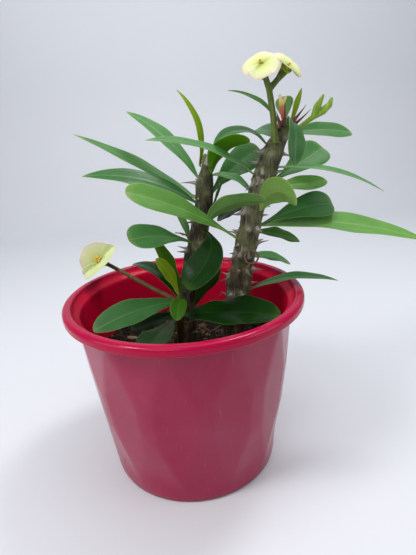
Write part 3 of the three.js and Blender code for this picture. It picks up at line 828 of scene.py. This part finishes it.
def stem_axis(node):
    """Rows of centre and radius up a CAD stem, found by looking outwards from inside it."""
    tree = surface_tree(node)
    points = corners(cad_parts[node].data)
    bottom = points[points[:, 2] < points[:, 2].min() + 0.8 * MM]
    centre = Vector(bottom.mean(0))
    heading = Z.copy()
    rows = []
    while True:
        centre = centre + heading * STEM_STEP
        across = heading.orthogonal().normalized()
        other = heading.cross(across)
        for _ in range(3):
            rays = [across * math.cos(turn) + other * math.sin(turn) for turn in full_turn(AXIS_SPOKES)]
            distances = [tree.ray_cast(centre, ray)[3] or 0.0 for ray in rays]
            radius = float(np.median(distances))
            shift = Vector((0, 0, 0))
            for distance, ray in zip(distances, rays):
                shift += ray * min(distance, radius * 1.12) / AXIS_SPOKES
            centre = centre + shift
        rows.append([*centre, radius])
        if len(rows) > AXIS_MEMORY:
            heading = (centre - Vector(rows[-AXIS_MEMORY][:3])).normalized()
        ahead = tree.ray_cast(centre, heading)[3]
        if ahead is None or ahead < 1.5 * STEM_STEP or radius < 0.9 * MM:
            return np.array(rows)


def cad_spines(node):
    """Each spine of a CAD stem as (root, tip): its tip is the point of a narrow long cone."""
    points, near = welded(node)
    found = []
    for index, others in enumerate(near):
        spokes = points[list(others)] - points[index]
        lengths = np.linalg.norm(spokes, axis=1)
        if lengths.min() < LARGE_SPINE:
            continue
        direction = (spokes / lengths[:, None]).mean(0)
        if np.linalg.norm(direction) > 0.985:
            found.append((points[index] + spokes.mean(0), points[index]))
    return found


def smoothed(rows, reach):
    """Rows averaged with their neighbours, the ends kept."""
    padded = np.concatenate([np.repeat(rows[:1], reach, 0), rows, np.repeat(rows[-1:], reach, 0)])
    kernel = np.hanning(2 * reach + 3)[1:-1]
    kernel /= kernel.sum()
    return np.stack([np.convolve(padded[:, k], kernel, "valid") for k in range(rows.shape[1])], 1)


def frames_along(centres):
    """Heading, side and other unit vectors at each centre, turning as little as they can."""
    heading = unit(np.gradient(centres, axis=0))
    side = np.empty_like(heading)
    current = np.array([0.0, -1.0, 0.0])
    for index, direction in enumerate(heading):
        current = current - direction * np.dot(current, direction)
        current = current / np.linalg.norm(current)
        side[index] = current
    return heading, side, np.cross(heading, side)


def scar_places(axis, spines, dice):
    """Heights and turns of the leaf scars: one at each pair of spines and more between."""
    places = []
    for root, _ in spines:
        row = int(np.argmin(np.linalg.norm(axis[:, :3] - root, axis=1)))
        out = root - axis[row, :3]
        places.append((row, math.atan2(out[1], out[0]), 1.0))
    for index in range(len(axis) // SCAR_SPACING):
        row = 14 + index * SCAR_SPACING + dice.randint(-1, 1)
        if row < len(axis) - 6:
            places.append((row, index * GOLDEN_TURN, dice.uniform(0.35, 0.8)))
    return places


def stem_body(axis, spines, dice, knobbiness, fullness):
    """A bark-covered stem: knobs that run down below each scar, furrows and flakes."""
    smooth = smoothed(axis, 5)
    centres, radii = smooth[:, :3], smooth[:, 3] * fullness
    _, side, other = frames_along(centres)
    scars = scar_places(smooth, spines, dice)
    rows = len(axis)
    turns = full_turn(STEM_COLUMNS)
    rings, youth, scar_mask = [], [], []
    seed = dice.uniform(0, 50)
    for row in range(rows):
        outward = side[row] * np.cos(turns)[:, None] + other[row] * np.sin(turns)[:, None]
        azimuth = np.arctan2(outward[:, 1], outward[:, 0])
        swell = np.zeros(STEM_COLUMNS)
        mask = np.zeros(STEM_COLUMNS)
        for scar_row, scar_turn, size in scars:
            above = (row - scar_row) * STEM_STEP / MM
            if not -SCAR_RUN < above < SCAR_REACH:
                continue
            gap = np.abs((azimuth - scar_turn + math.pi) % (2 * math.pi) - math.pi) * radii[row] / MM
            fade = 2.0 if above > 0 else 8.0
            swell += size * math.exp(-((above / fade) ** 2)) * np.exp(-((gap / 2.1) ** 2))
            mask += size * math.exp(-((above / 1.7) ** 2)) * np.exp(-((gap / 2.0) ** 2))
        grown = 1 - row / rows
        base = centres[row] + outward * radii[row]
        flakes = np.array([rough(point * (1, 1, 0.45), 210, seed) for point in base])
        furrows = np.array([rough(point * (1, 1, 0.22), 800, seed + 9) for point in base])
        ridge = knobbiness * np.minimum(swell, 1.6) * (0.45 + 0.55 * grown)
        bark = (flakes + 0.5 * np.abs(furrows)) * (0.35 + 0.65 * grown)
        rings.append(centres[row] + outward * (radii[row] + (ridge + bark) * MM)[:, None])
        youth.append(np.full(STEM_COLUMNS, max(0.0, (row / rows - 0.72) / 0.28)))
        scar_mask.append(np.clip(mask, 0, 1))
    tip = centres[-1] + (centres[-1] - centres[-3])
    points, faces = loft(np.array(rings), centres[0], tip)
    grids = {"youth": youth, "scar": scar_mask}
    return points, faces, {label: capped(grid[0][0], grid, grid[-1][0]) for label, grid in grids.items()}


def spine_body(root, tip, dice, stout):
    """A thorn: a broad flat root, a quick taper and a slight hook at its point."""
    length = np.linalg.norm(tip - root)
    out = (tip - root) / length
    start = root - out * 1.6 * MM
    side = unit(np.cross(out, [0, 0, 1]) + 1e-9)
    other = np.cross(out, side)
    sag = dice.uniform(-0.06, 0.1) * length
    share = np.linspace(0, 0.97, SPINE_ROWS)
    centres = start + np.outer(share, tip - start) + np.outer(np.sin(share * math.pi) * sag, other)
    radius = stout * MM * (0.36 * (1 - share) ** 0.8 + 0.85 * np.exp(-share * 5.5)) + 0.04 * MM
    flat = 1 + 0.55 * np.exp(-share * 5)
    turns = full_turn(SPINE_SIDES)
    rings = (
        centres[:, None]
        + side * np.outer(radius, np.cos(turns))[..., None]
        + other * np.outer(radius * flat, np.sin(turns))[..., None]
    )
    points, faces = loft(rings, start, tip)
    return points, faces, capped(0, np.repeat(share, SPINE_SIDES), 1)


def make_spines(name, pairs, material, dice, stout):
    """One piece of spines, each from its root to its tip."""
    bodies = [spine_body(root, tip, dice, stout * dice.uniform(0.85, 1.15)) for root, tip in pairs]
    points, faces = joined([(points, faces) for points, faces, _ in bodies])
    along = np.concatenate([along for _, _, along in bodies])
    piece(name, points, faces, material, attributes={"along": along})


def short_spines(axis, dice, count):
    """Roots and tips of the small spines beside the large ones."""
    made = []
    for index in range(count):
        row = int(10 + (len(axis) - 22) * (index + dice.random()) / count)
        turn = dice.uniform(0, 2 * math.pi)
        out = np.array([math.cos(turn), math.sin(turn), dice.uniform(-0.3, 0.5)])
        root = axis[row, :3] + out * (1, 1, 0) * axis[row, 3] * 0.95
        made.append((root, root + unit(out) * dice.uniform(3, 6) * MM))
    return made


def make_stem(node, bark, knobbiness, fullness, young_length, small_spines, seed):
    """A woody stem with its spines, which are young and red over its last young_length."""
    dice = random.Random(seed)
    axis = stem_axis(node)
    spines = cad_spines(node)
    points, faces, attributes = stem_body(axis, spines, dice, knobbiness, fullness)
    piece(node + "_bark", points, faces, bark, [node], attributes)
    young_above = axis[-1, 2] - young_length
    old = [pair for pair in spines if pair[0][2] < young_above]
    young = [pair for pair in spines if pair[0][2] >= young_above]
    old += short_spines(axis, dice, small_spines)
    make_spines(node + "_spines", old, OLD_SPINE, dice, 2.7)
    if young:
        make_spines(node + "_young_spines", young, YOUNG_SPINE, dice, 3.0)
    return axis


def tube_body(centres, radii, sides, bumpiness, seed):
    """A round stalk through centres, slightly uneven."""
    _, side, other = frames_along(centres)
    turns = full_turn(sides)
    rings = (
        centres[:, None]
        + side[:, None] * np.outer(radii, np.cos(turns))[..., None]
        + other[:, None] * np.outer(radii, np.sin(turns))[..., None]
    )
    for ring, centre in zip(rings, centres):
        for point in ring:
            point += unit(point - centre) * rough(point, 320, seed) * bumpiness
    return loft(rings, centres[0], centres[-1] + (centres[-1] - centres[-2]) * 0.5)


def rod_rows(node, sides, fine):
    """Smooth rows of centre and radius along a lofted CAD rod."""
    rings = cad_rings(node, sides)[0]
    rows = [[*ring.mean(0), np.linalg.norm(ring - ring.mean(0), axis=1).mean()] for ring in rings]
    return resampled(rows, fine)


def make_basal_shoot():
    rows = rod_rows("basal_shoot", 8, 14)
    points, faces = tube_body(rows[:, :3], rows[:, 3], 40, 0.25 * MM, 4)
    piece("basal_shoot_stem", points, faces, GREEN_STEM, ["basal_shoot"])


def make_rim_stalk():
    rows = rod_rows("rim_flower_stalk", 8, 16)
    heading = unit(rows[1, :3] - rows[0, :3])
    foot = np.concatenate([rows[0, :3] - heading * 3 * MM, rows[:1, 3]])
    rows = np.array([foot, *rows])
    points, faces = tube_body(rows[:, :3], rows[:, 3], 28, 0.12 * MM, 8)
    piece("rim_flower_stalk_stem", points, faces, RIM_STALK, ["rim_flower_stalk"])


def rounded_copy(node, name, material, slot, voxel, bumpiness, grow, softness):
    """A forked CAD solid as one smooth organic body."""
    made = placed(name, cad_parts[node].data.copy())
    made.matrix_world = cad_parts[node].matrix_world
    remesh = made.modifiers.new("remesh", "REMESH")
    remesh.mode = "VOXEL"
    remesh.voxel_size = voxel
    soften = made.modifiers.new("soften", "SMOOTH")
    soften.factor = 0.6
    soften.iterations = softness
    swell = made.modifiers.new("swell", "DISPLACE")
    swell.strength = grow
    swell.mid_level = 0
    mesh = applied(made)
    bpy.data.objects.remove(made)
    normals = np.array([vertex.normal for vertex in mesh.vertices], float)
    faces = [list(polygon.vertices) for polygon in mesh.polygons]
    lift = np.array([rough(point, 420, 3) for point in corners(mesh)]) * bumpiness
    piece(name, corners(mesh) + normals * lift[:, None], faces, material, [node])


# ---- Flowers ----

def rise_of(row, tip, up):
    """A bract's outward direction square to its flower's axis, and its rise towards it."""
    out = unit(tip - row[:3])
    level = unit(out - up * np.dot(out, up))
    return level, math.asin(np.dot(out, up))


def bract_body(node, mate, up, on_top, broad, fold, dice, aged):
    """A broad kidney-shaped bract whose flanks lie over its mate's, or under them."""
    rows, other = leaf_stations(node), leaf_stations(mate)
    base = rows[0, :3]
    width = rows[:, 9].max() * broad
    length = np.linalg.norm(rows[-1, :3] - base)
    out, rise = rise_of(rows[0], rows[-1, :3], up)
    rise += math.radians(fold)
    mate_rise = rise_of(other[0], other[-1, :3], up)[1]
    side = np.cross(up, out)
    fan = np.linspace(-BRACT_SPREAD, BRACT_SPREAD, BRACT_FANS)
    reach = np.sin(np.linspace(0.04, math.pi / 2, BRACT_REACHES))
    # The outline: an ellipse arc with a shallow point at its tip and a notch at each shoulder
    aside = np.degrees(np.abs(fan))
    outline = 1 / np.sqrt((np.cos(fan) / length) ** 2 + (np.sin(fan) / width) ** 2)
    outline *= 1 + 0.05 * np.exp(-((fan / 0.16) ** 2)) - 0.03 * np.cos(fan * 2)
    outline *= 1 - 0.35 * ramped(aside, 96, 118) ** 2
    outline *= 1 - 0.14 * np.exp(-(((aside - 96) / 20) ** 2))
    flank = smooth_ramped(aside, 62, 102)
    lean = rise + (mate_rise - rise) * ramped(aside, 80, 110)
    phases = [dice.uniform(0, 6) for _ in range(3)]
    lift = 1.7 * MM if on_top else -0.3 * MM

    def layer(offset):
        """Points over the fan, `offset` above its middle sheet."""
        grid = []
        for r in reach:
            span = outline * r
            forward = span * np.cos(fan)
            dome = -0.12 * length * r**3 * (1 + 0.25 * np.sin(2 * fan + phases[0]))
            ripple = 0.035 * width * r**3 * np.sin(5 * fan + phases[1])
            pleat = 0.07 * MM * np.sin(BRACT_VEINS * fan) * math.sin(math.pi * r)
            height = np.abs(forward) * np.tan(lean) + dome + ripple + pleat
            height = height + flank * lift * (0.35 + 0.65 * r) + offset * math.sqrt(1.0001 - r**6)
            grid.append(
                base
                + out * (forward * np.cos(lean))[:, None]
                + side * (span * np.sin(fan))[:, None]
                + up * (height * np.cos(lean))[:, None]
            )
        return np.array(grid)

    # Go round each fan line: out along the upper sheet, back along the lower one
    sheets = [layer(BRACT_HALF_THICKNESS), layer(-BRACT_HALF_THICKNESS)[::-1]]
    loops = np.concatenate(sheets).transpose(1, 0, 2)
    points, faces = loft(loops, loops[0].mean(0), loops[-1].mean(0))
    return points, faces, {
        "along": capped(0, np.tile([*reach, *reach[::-1]], BRACT_FANS), 0),
        "fan": capped(fan[0], np.repeat(fan, 2 * BRACT_REACHES), fan[-1]),
        "tone": np.full(len(points), aged),
        "under": capped(0, np.tile(np.repeat([0.0, 1.0], BRACT_REACHES), BRACT_FANS), 0),
    }


def cyathium_bodies(centre, up, side, radius):
    """A small cup with five glands round its mouth and a few stamens."""
    other = np.cross(up, side)
    turns = full_turn(20)
    ring = side * np.cos(turns)[:, None] + other * np.sin(turns)[:, None]
    profile = [(0.45, -1.5), (0.8, -1.0), (0.95, -0.3), (0.9, 0.1), (0.55, 0.0)]
    rings = np.array([centre + ring * share * radius + up * level * radius for share, level in profile])
    bodies = [loft(rings, centre - up * 1.6 * radius, centre - up * 0.2 * radius)]
    levels = np.linspace(-0.9, 0.9, 7)[:, None, None]
    waist = np.sqrt(1 - levels**2) * radius
    for turn in full_turn(GLANDS):
        out = side * math.cos(turn) + other * math.sin(turn)
        lobe = centre + out * radius * 0.95 + up * radius * 0.2
        wide = np.cross(up, out) * np.cos(turns)[:, None] * 0.58
        deep = out * np.sin(turns)[:, None] * 0.42
        rings = lobe + (wide + deep) * waist + up * levels * 0.24 * radius
        bodies.append(loft(rings, rings[0].mean(0), rings[-1].mean(0)))
    shares = np.array([0.0, 0.35, 0.7, 0.85, 1.0])
    widths = np.array([0.1, 0.07, 0.07, 0.17, 0.12])[:, None, None] * radius
    for turn in full_turn(STAMENS) + 0.3:
        out = side * math.cos(turn) + other * math.sin(turn)
        line = centre + np.outer(shares, up * 1.15 + out * 0.5) * radius
        bodies.append(loft(line[:, None] + ring * widths, line[0], line[-1] + up * 0.1 * radius))
    return bodies


def make_flower(name, top_label, aged, cup_share, broad, fold, seed):
    """Two bracts, the top one broadened and folded up (in degrees), with their cup and stalk's end."""
    dice = random.Random(seed)
    nodes = {label: f"{name}_bract_{label}" for label in "ab"}
    roots = {label: leaf_stations(node)[0, :3] for label, node in nodes.items()}
    low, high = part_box(f"{name}_cyathium")
    centre = np.array((low + high) / 2)
    up = unit(centre - (roots["a"] + roots["b"]) / 2)
    for node, mate in ((nodes["a"], nodes["b"]), (nodes["b"], nodes["a"])):
        on_top = node == nodes[top_label]
        shape = (broad, fold) if on_top else (1.05, 0)
        points, faces, attributes = bract_body(node, mate, up, on_top, *shape, dice, aged * on_top)
        piece(node + "_petal", points, faces, BRACT, [node], attributes)
    side = unit(roots["a"] - roots["b"])
    radius = (high - low).x / 2
    points, faces = joined(cyathium_bodies(centre - up * 0.5 * radius, up, side, radius * cup_share))
    piece(f"{name}_cyathium_cup", points, faces, CYATHIUM, [f"{name}_cyathium"])
    make_receptacle(name, (roots["a"] + roots["b"]) / 2, up)


def make_receptacle(name, base, up):
    """The stalk's flared green-yellow end under the bracts."""
    profile = [(-11, 1.3), (-8.5, 1.7), (-6, 2.3), (-4, 3.0), (-2.2, 3.7), (-0.9, 3.9), (-0.4, 2.6)]
    rows = resampled([(*(base + up * level * MM), radius * MM) for level, radius in profile], 3)
    points, faces = tube_body(rows[:, :3], rows[:, 3], 28, 0.12 * MM, 6)
    piece(f"{name}_receptacle", points, faces, RECEPTACLE)


# ---- Pot and potting mix ----

def soft_min(values, softness):
    """The least of the values, with its creases rounded."""
    values = np.array(values)
    least = values.min(0)
    return least - softness * np.log(np.exp(-(values - least) / softness).sum(0))


def cone_radius(height, top):
    """The radius at the facets' corners, which grows evenly from the foot to the lip."""
    return FOOT_RADIUS + (WALL_TOP_RADIUS - FOOT_RADIUS) * height / top


def wall_radius(turn, height, top):
    """The outside of the faceted wall: flat diamonds and triangles that fade out at the foot."""
    step = 2 * math.pi / FACET_SIDES
    middle = (FACET_FOOT + top) / 2
    half = math.cos(step / 2)

    def cone(level):
        return cone_radius(level, top)

    def plane(distance, offset):
        """Where this ray meets the nearest of 12 upright planes, leaning as distance does."""
        local = (turn - math.radians(FACET_TURN) - offset + step / 2) % step - step / 2
        return distance / np.cos(local)

    def rise(low, high, low_radius, high_radius):
        return low_radius + (high_radius - low_radius) * (height - low) / (high - low)

    diamonds = plane(cone(height), 0)
    lower = plane(rise(FACET_FOOT, middle, cone(FACET_FOOT) * half, cone(middle) / half), step / 2)
    upper = plane(rise(middle, top, cone(middle) / half, cone(top) * half), step / 2)
    faceted = soft_min([diamonds, lower, upper], FACET_SOFTNESS)
    share = smooth_ramped(height, 0.2 * FACET_FOOT, 2.3 * FACET_FOOT)
    round_wall = cone(height) * np.ones_like(turn)
    return round_wall + (np.minimum(faceted, round_wall + 1.2 * MM) - round_wall) * share


def level_ring(turn, radius, height):
    """The points of a ring about Z."""
    return np.stack([radius * np.cos(turn), radius * np.sin(turn), height * np.ones_like(turn)], 1)


def pot_profile(turn, top, rim, soil):
    """Points (radius, height) round the pot's section at each turn, with what they belong to."""
    lip_bottom = top - LIP_HEIGHT
    rows = []

    def add(radius, height, kind):
        rows.append((radius, height, kind))

    def arc(centre_radius, centre_height, radius, start, stop, steps, kind):
        for step in range(steps + 1):
            angle = math.radians(start + (stop - start) * step / steps)
            add(centre_radius + radius * math.cos(angle), centre_height + radius * math.sin(angle), kind)

    # Underside and rounded foot
    for share in (0.25, 0.5, 0.75):
        add(FOOT_RADIUS * share, 0.0, "foot")
    arc(FOOT_RADIUS - FOOT_ROUND, FOOT_ROUND, FOOT_ROUND, -90, 0, 6, "foot")
    # Outside wall
    for share in np.linspace(0.02, 1, 60):
        height = FOOT_ROUND + (lip_bottom - 0.4 * MM - FOOT_ROUND) * share
        add(wall_radius(turn, height, lip_bottom), height, "wall")
    # Lip: under, round its outer edge, over the top and into the mouth
    add(rim - 2.2 * MM, lip_bottom + 0.1 * MM, "lip")
    arc(rim - LIP_FOLD, lip_bottom + LIP_FOLD + 0.1 * MM, LIP_FOLD, -90, 0, 5, "lip")
    arc(rim - LIP_ROUND, top - LIP_ROUND, LIP_ROUND, 0, 90, 9, "lip")
    mouth = rim - LIP_WIDTH
    arc(mouth + MOUTH_ROUND, top - MOUTH_ROUND, MOUTH_ROUND, 90, 180, 6, "lip")
    # A plain ring inside the lip, then the shoulder down to the wall
    neck = FACET_FLAT * WALL_TOP_RADIUS - INSIDE_SETBACK
    throat = ((mouth - 0.3 * MM, 2.2), (mouth - 0.9 * MM, 4.0), (neck + 2 * MM, 5.6), (neck + 0.3 * MM, 6.7))
    for radius, below in throat:
        add(radius, top - below * MM, "inside")
    shoulder = top - SHOULDER_DEPTH
    # Inside wall: round above the mix, and faceted where the mix hides it
    for share in np.linspace(0, 1, 44):
        height = shoulder + (FLOOR_THICKNESS + 1 * MM - shoulder) * share
        plain = FACET_FLAT * cone_radius(height, lip_bottom) - INSIDE_SETBACK
        buried = min(1.0, max(0.0, (soil - height) / (8 * MM)))
        inner = plain + (wall_radius(turn, height, lip_bottom) - WALL - plain) * buried
        add(inner, height, "inside")
    for share in (0.97, 0.75, 0.5, 0.25):
        add((FOOT_RADIUS - WALL) * share, FLOOR_THICKNESS, "inside")
    return rows


def make_pot():
    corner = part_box("pot")[1]
    top, rim = corner.z, corner.x
    turn = full_turn(24 * FACET_SIDES)
    rows = pot_profile(turn, top, rim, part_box("potting_mix")[1].z - 4 * MM)
    rings = np.array([level_ring(turn, radius, height) for radius, height, _ in rows])
    points, faces = loft(rings, (0, 0, 0), (0, 0, FLOOR_THICKNESS))
    attributes = {}
    for kind in ("lip", "inside", "foot"):
        attributes[kind] = capped(0, np.repeat([float(row[2] == kind) for row in rows], len(turn)), 0)
    drill_drain_holes(piece("pot_shell", points, faces, pot_material(), ["pot"], attributes))


def drill_drain_holes(pot):
    edit = bmesh.new()
    for turn in full_turn(DRAIN_HOLES):
        place = Matrix.Translation(Vector((math.cos(turn), math.sin(turn), 0)) * DRAIN_RING_RADIUS)
        bmesh.ops.create_cone(edit, cap_ends=True, segments=28, radius1=DRAIN_RADIUS, radius2=DRAIN_RADIUS,
                              depth=6 * FLOOR_THICKNESS, matrix=place)
    mesh = bpy.data.meshes.new("drain_cutter")
    edit.to_mesh(mesh)
    edit.free()
    cutter = placed("drain_cutter", mesh)
    cut = pot.modifiers.new("drain_holes", "BOOLEAN")
    cut.object = cutter
    cut.operation = "DIFFERENCE"
    cut.solver = "EXACT"
    drilled = applied(pot)
    pot.modifiers.clear()
    pot.data = drilled
    bpy.data.objects.remove(cutter)


def soil_height(x, y):
    """The lumpy top of the potting mix."""
    lumps = rough((x, y, 0), 55, 1) * 1.6 + rough((x, y, 0), 190, 5) * 1.3 + rough((x, y, 0), 520, 7) * 0.6
    return lumps * MM


def make_potting_mix():
    low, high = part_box("potting_mix")
    level = high.z - 1.6 * MM
    lip_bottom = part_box("pot")[1].z - LIP_HEIGHT
    turn = full_turn(180)

    def edge_at(height):
        return wall_radius(turn, height, lip_bottom) - WALL - MIX_GAP

    rings = [level_ring(turn, edge_at(height), height) for height in np.linspace(low.z, level, 8)]
    edge = edge_at(level)
    for share in np.linspace(0.985, 0.02, 55):
        flat = level_ring(turn, edge * share, level)
        for point in flat:
            point[2] += soil_height(point[0], point[1])
        rings.append(flat)
    points, faces = loft(np.array(rings), (0, 0, low.z), (0, 0, level))
    piece("potting_mix_bed", points, faces, soil_material(), ["potting_mix"])
    make_chips(level, float(edge.min()))


def make_chips(level, reach):
    """Bark chips and fibres strewn over the mix."""
    dice = random.Random(31)
    bodies, tones = [], []
    for _ in range(CHIPS):
        distance = reach * math.sqrt(dice.random()) * 0.97
        turn = dice.uniform(0, 2 * math.pi)
        x, y = distance * math.cos(turn), distance * math.sin(turn)
        size = dice.choice((1.2, 1.8, 2.4, 3.4)) * dice.uniform(0.7, 1.4) * MM
        shape = Vector((size, size * dice.uniform(0.35, 0.8), size * dice.uniform(0.15, 0.4)))
        edit = bmesh.new()
        bmesh.ops.create_icosphere(edit, subdivisions=1, radius=1)
        place = Matrix.Translation((x, y, level + soil_height(x, y) + size * 0.12))
        spin = Euler((dice.uniform(-0.5, 0.5), dice.uniform(-0.5, 0.5), dice.uniform(0, 6.3)))
        place = place @ spin.to_matrix().to_4x4()
        for vertex in edit.verts:
            jag = 1 + 0.3 * rough(vertex.co, 2.3, dice.uniform(0, 20))
            square = Vector([math.copysign(abs(axis) ** 0.55, axis) for axis in vertex.co])
            vertex.co = place @ Vector([a * b * jag for a, b in zip(square, shape)])
        chip = [list(vertex.co) for vertex in edit.verts]
        bodies.append((chip, [[vertex.index for vertex in face.verts] for face in edit.faces]))
        tones.append(np.full(len(edit.verts), dice.random()))
        edit.free()
    points, faces = joined(bodies)
    tone = {"tone": np.concatenate(tones)}
    chips = piece("bark_chips", points, faces, chip_material(), attributes=tone)
    chips.data.polygons.foreach_set("use_smooth", [False] * len(chips.data.polygons))


# ---- Stage ----

def make_camera():
    data = bpy.data.cameras.new("camera")
    data.lens = CAMERA_LENS
    data.sensor_width = 36
    data.clip_start = 0.01
    camera = placed("camera", data)
    turn = Matrix.Rotation(math.radians(CAMERA_TURN), 4, "Z")
    tip = Matrix.Rotation(math.radians(90 + CAMERA_PITCH), 4, "X")
    roll = Matrix.Rotation(math.radians(CAMERA_ROLL), 4, "Z")
    camera.matrix_world = Matrix.Translation(CAMERA_PLACE) @ turn @ tip @ roll
    bpy.context.scene.camera = camera


def area_light(name, place, target, size, power, color):
    data = bpy.data.lights.new(name, "AREA")
    data.shape = "RECTANGLE"
    data.size, data.size_y = size
    data.energy = power
    data.color = color
    light = placed(name, data)
    light.location = place
    light.rotation_euler = (Vector(target) - Vector(place)).to_track_quat("-Z", "Y").to_euler()


def make_lights():
    aim = (0, 0, 0.15)
    # Name, place, target, size, power and colour
    for light in (
        ("overhead", (0.05, -0.1, 1.25), aim, (0.9, 0.7), 3.2, (1.0, 0.995, 0.98)),
        ("front", (-0.4, -0.9, 0.8), aim, (0.6, 0.5), 2.4, (1.0, 0.99, 0.97)),
        ("right_lamp", (0.36, 0.2, 1.0), aim, (0.2, 0.2), 3.4, (0.98, 0.99, 1.0)),
        ("left_lamp", (-0.5, -0.28, 0.75), aim, (0.2, 0.2), 2.9, (1.0, 0.99, 0.98)),
        ("right_card", (0.75, -0.3, 0.42), aim, (0.5, 0.5), 1.6, (0.95, 0.97, 1.0)),
        ("left_card", (-0.75, -0.3, 0.42), aim, (0.5, 0.5), 1.6, (0.98, 0.98, 1.0)),
        ("backdrop_wash", (0.2, 0.3, 1.35), (0.25, 1.2, 0.95), (2.4, 0.4), 9, (0.97, 0.985, 1.0)),
    ):
        area_light(*light)
    world = bpy.data.worlds.new("soft_room")
    world.use_nodes = True
    background = world.node_tree.nodes["Background"]
    background.inputs["Color"].default_value = (0.80, 0.83, 0.88, 1)
    background.inputs["Strength"].default_value = 0.33
    bpy.context.scene.world = world
    bpy.context.scene.view_settings.view_transform = "Standard"


def make_floor():
    """A pale floor that sweeps up into a plain backdrop behind the pot."""
    front, flat_to, sweep, wall_top, half = -2.5, 0.8, 0.4, 2.0, 2.8
    profile = [(front, 0.0), (flat_to, 0.0)]
    for step in range(1, 17):
        angle = math.pi / 2 * step / 16
        profile.append((flat_to + sweep * math.sin(angle), sweep * (1 - math.cos(angle))))
    profile.append((flat_to + sweep, wall_top))
    points = [(x, y, z) for y, z in profile for x in (-half, half)]
    faces = [[2 * k, 2 * k + 1, 2 * k + 3, 2 * k + 2] for k in range(len(profile) - 1)]
    mesh = bpy.data.meshes.new("floor")
    mesh.from_pydata(points, [], faces)
    mesh.polygons.foreach_set("use_smooth", [True] * len(mesh.polygons))
    mesh.materials.append(floor_material())
    placed("floor", mesh)


STEM_TREES = [surface_tree(node) for node in ("main_stem", "left_stem", "basal_shoot")]
MAIN_BARK = bark_material("main_bark", 0.8)
# Painted shade: the left stem's bark is a darker copy of the same bark
LEFT_BARK_PAINTED_SHADE = bark_material("left_bark_painted_shade", 0.5)
OLD_SPINE = spine_material("old_spine", (0.13, 0.115, 0.085), (0.30, 0.265, 0.22), (0.06, 0.045, 0.04))
YOUNG_SPINE = spine_material("young_spine", (0.10, 0.03, 0.018), (0.16, 0.045, 0.03), (0.20, 0.09, 0.06))
GREEN_STEM = stalk_material("green_stem", (0.045, 0.075, 0.018), (0.12, 0.17, 0.045), (0.10, 0.06, 0.03), 0.4)
CROWN_STALK = stalk_material(
    "crown_stalk", (0.095, 0.135, 0.026), (0.20, 0.26, 0.06), (0.13, 0.05, 0.03), 0.35
)
RIM_STALK = stalk_material("rim_stalk", (0.075, 0.055, 0.010), (0.14, 0.10, 0.025), (0.05, 0.03, 0.010), 0.4)
BUD = stalk_material("bud_green", (0.22, 0.36, 0.035), (0.42, 0.55, 0.16), (0.20, 0.12, 0.04), 0.12)
BRACT = bract_material()
RECEPTACLE = stalk_material("receptacle", (0.32, 0.40, 0.035), (0.50, 0.58, 0.07), (0.2, 0.25, 0.04), 0.3)
DRY = dry_material("dry_leaf", 0.8)
DRY_THREAD = dry_material("dry_thread", 0.4)
CYATHIUM = cyathium_material()

make_camera()
make_lights()
make_floor()
make_pot()
make_potting_mix()
main_axis = make_stem(
    "main_stem", MAIN_BARK, knobbiness=1.7, fullness=0.97, young_length=14 * MM, small_spines=30, seed=3
)
make_dry_thread(main_axis)
make_stem("left_stem", LEFT_BARK_PAINTED_SHADE, knobbiness=1.4, fullness=1.08, young_length=0, small_spines=22, seed=9)
make_basal_shoot()
make_rim_stalk()
# Node, name, material, slot, then the voxel, bumpiness and growth in mm, and the rounds of smoothing
for node, name, material, slot, *lengths, softness in (
    ("crown_flower_stalk", "crown_flower_stalk_stem", CROWN_STALK, "green_stem", 0.4, 0.08, 0.12, 14),
    ("young_flower_cluster", "young_cluster_head", cluster_material(), "bud", 0.25, 0.06, 0.15, 8),
    ("bud_pair", "bud_pair_head", BUD, "bud", 0.25, 0.06, 0.25, 6),
):
    rounded_copy(node, name, material, slot, *(length * MM for length in lengths), softness)
make_dry_twigs()
make_leaves()
make_withered_scrap()
make_flower("flower_1", top_label="b", aged=0.0, cup_share=0.55, broad=1.05, fold=4, seed=1)
make_flower("flower_2", top_label="a", aged=0.15, cup_share=0.5, broad=1.1, fold=14, seed=2)
make_flower("flower_3", top_label="a", aged=0.8, cup_share=1.4, broad=1.35, fold=0, seed=3)
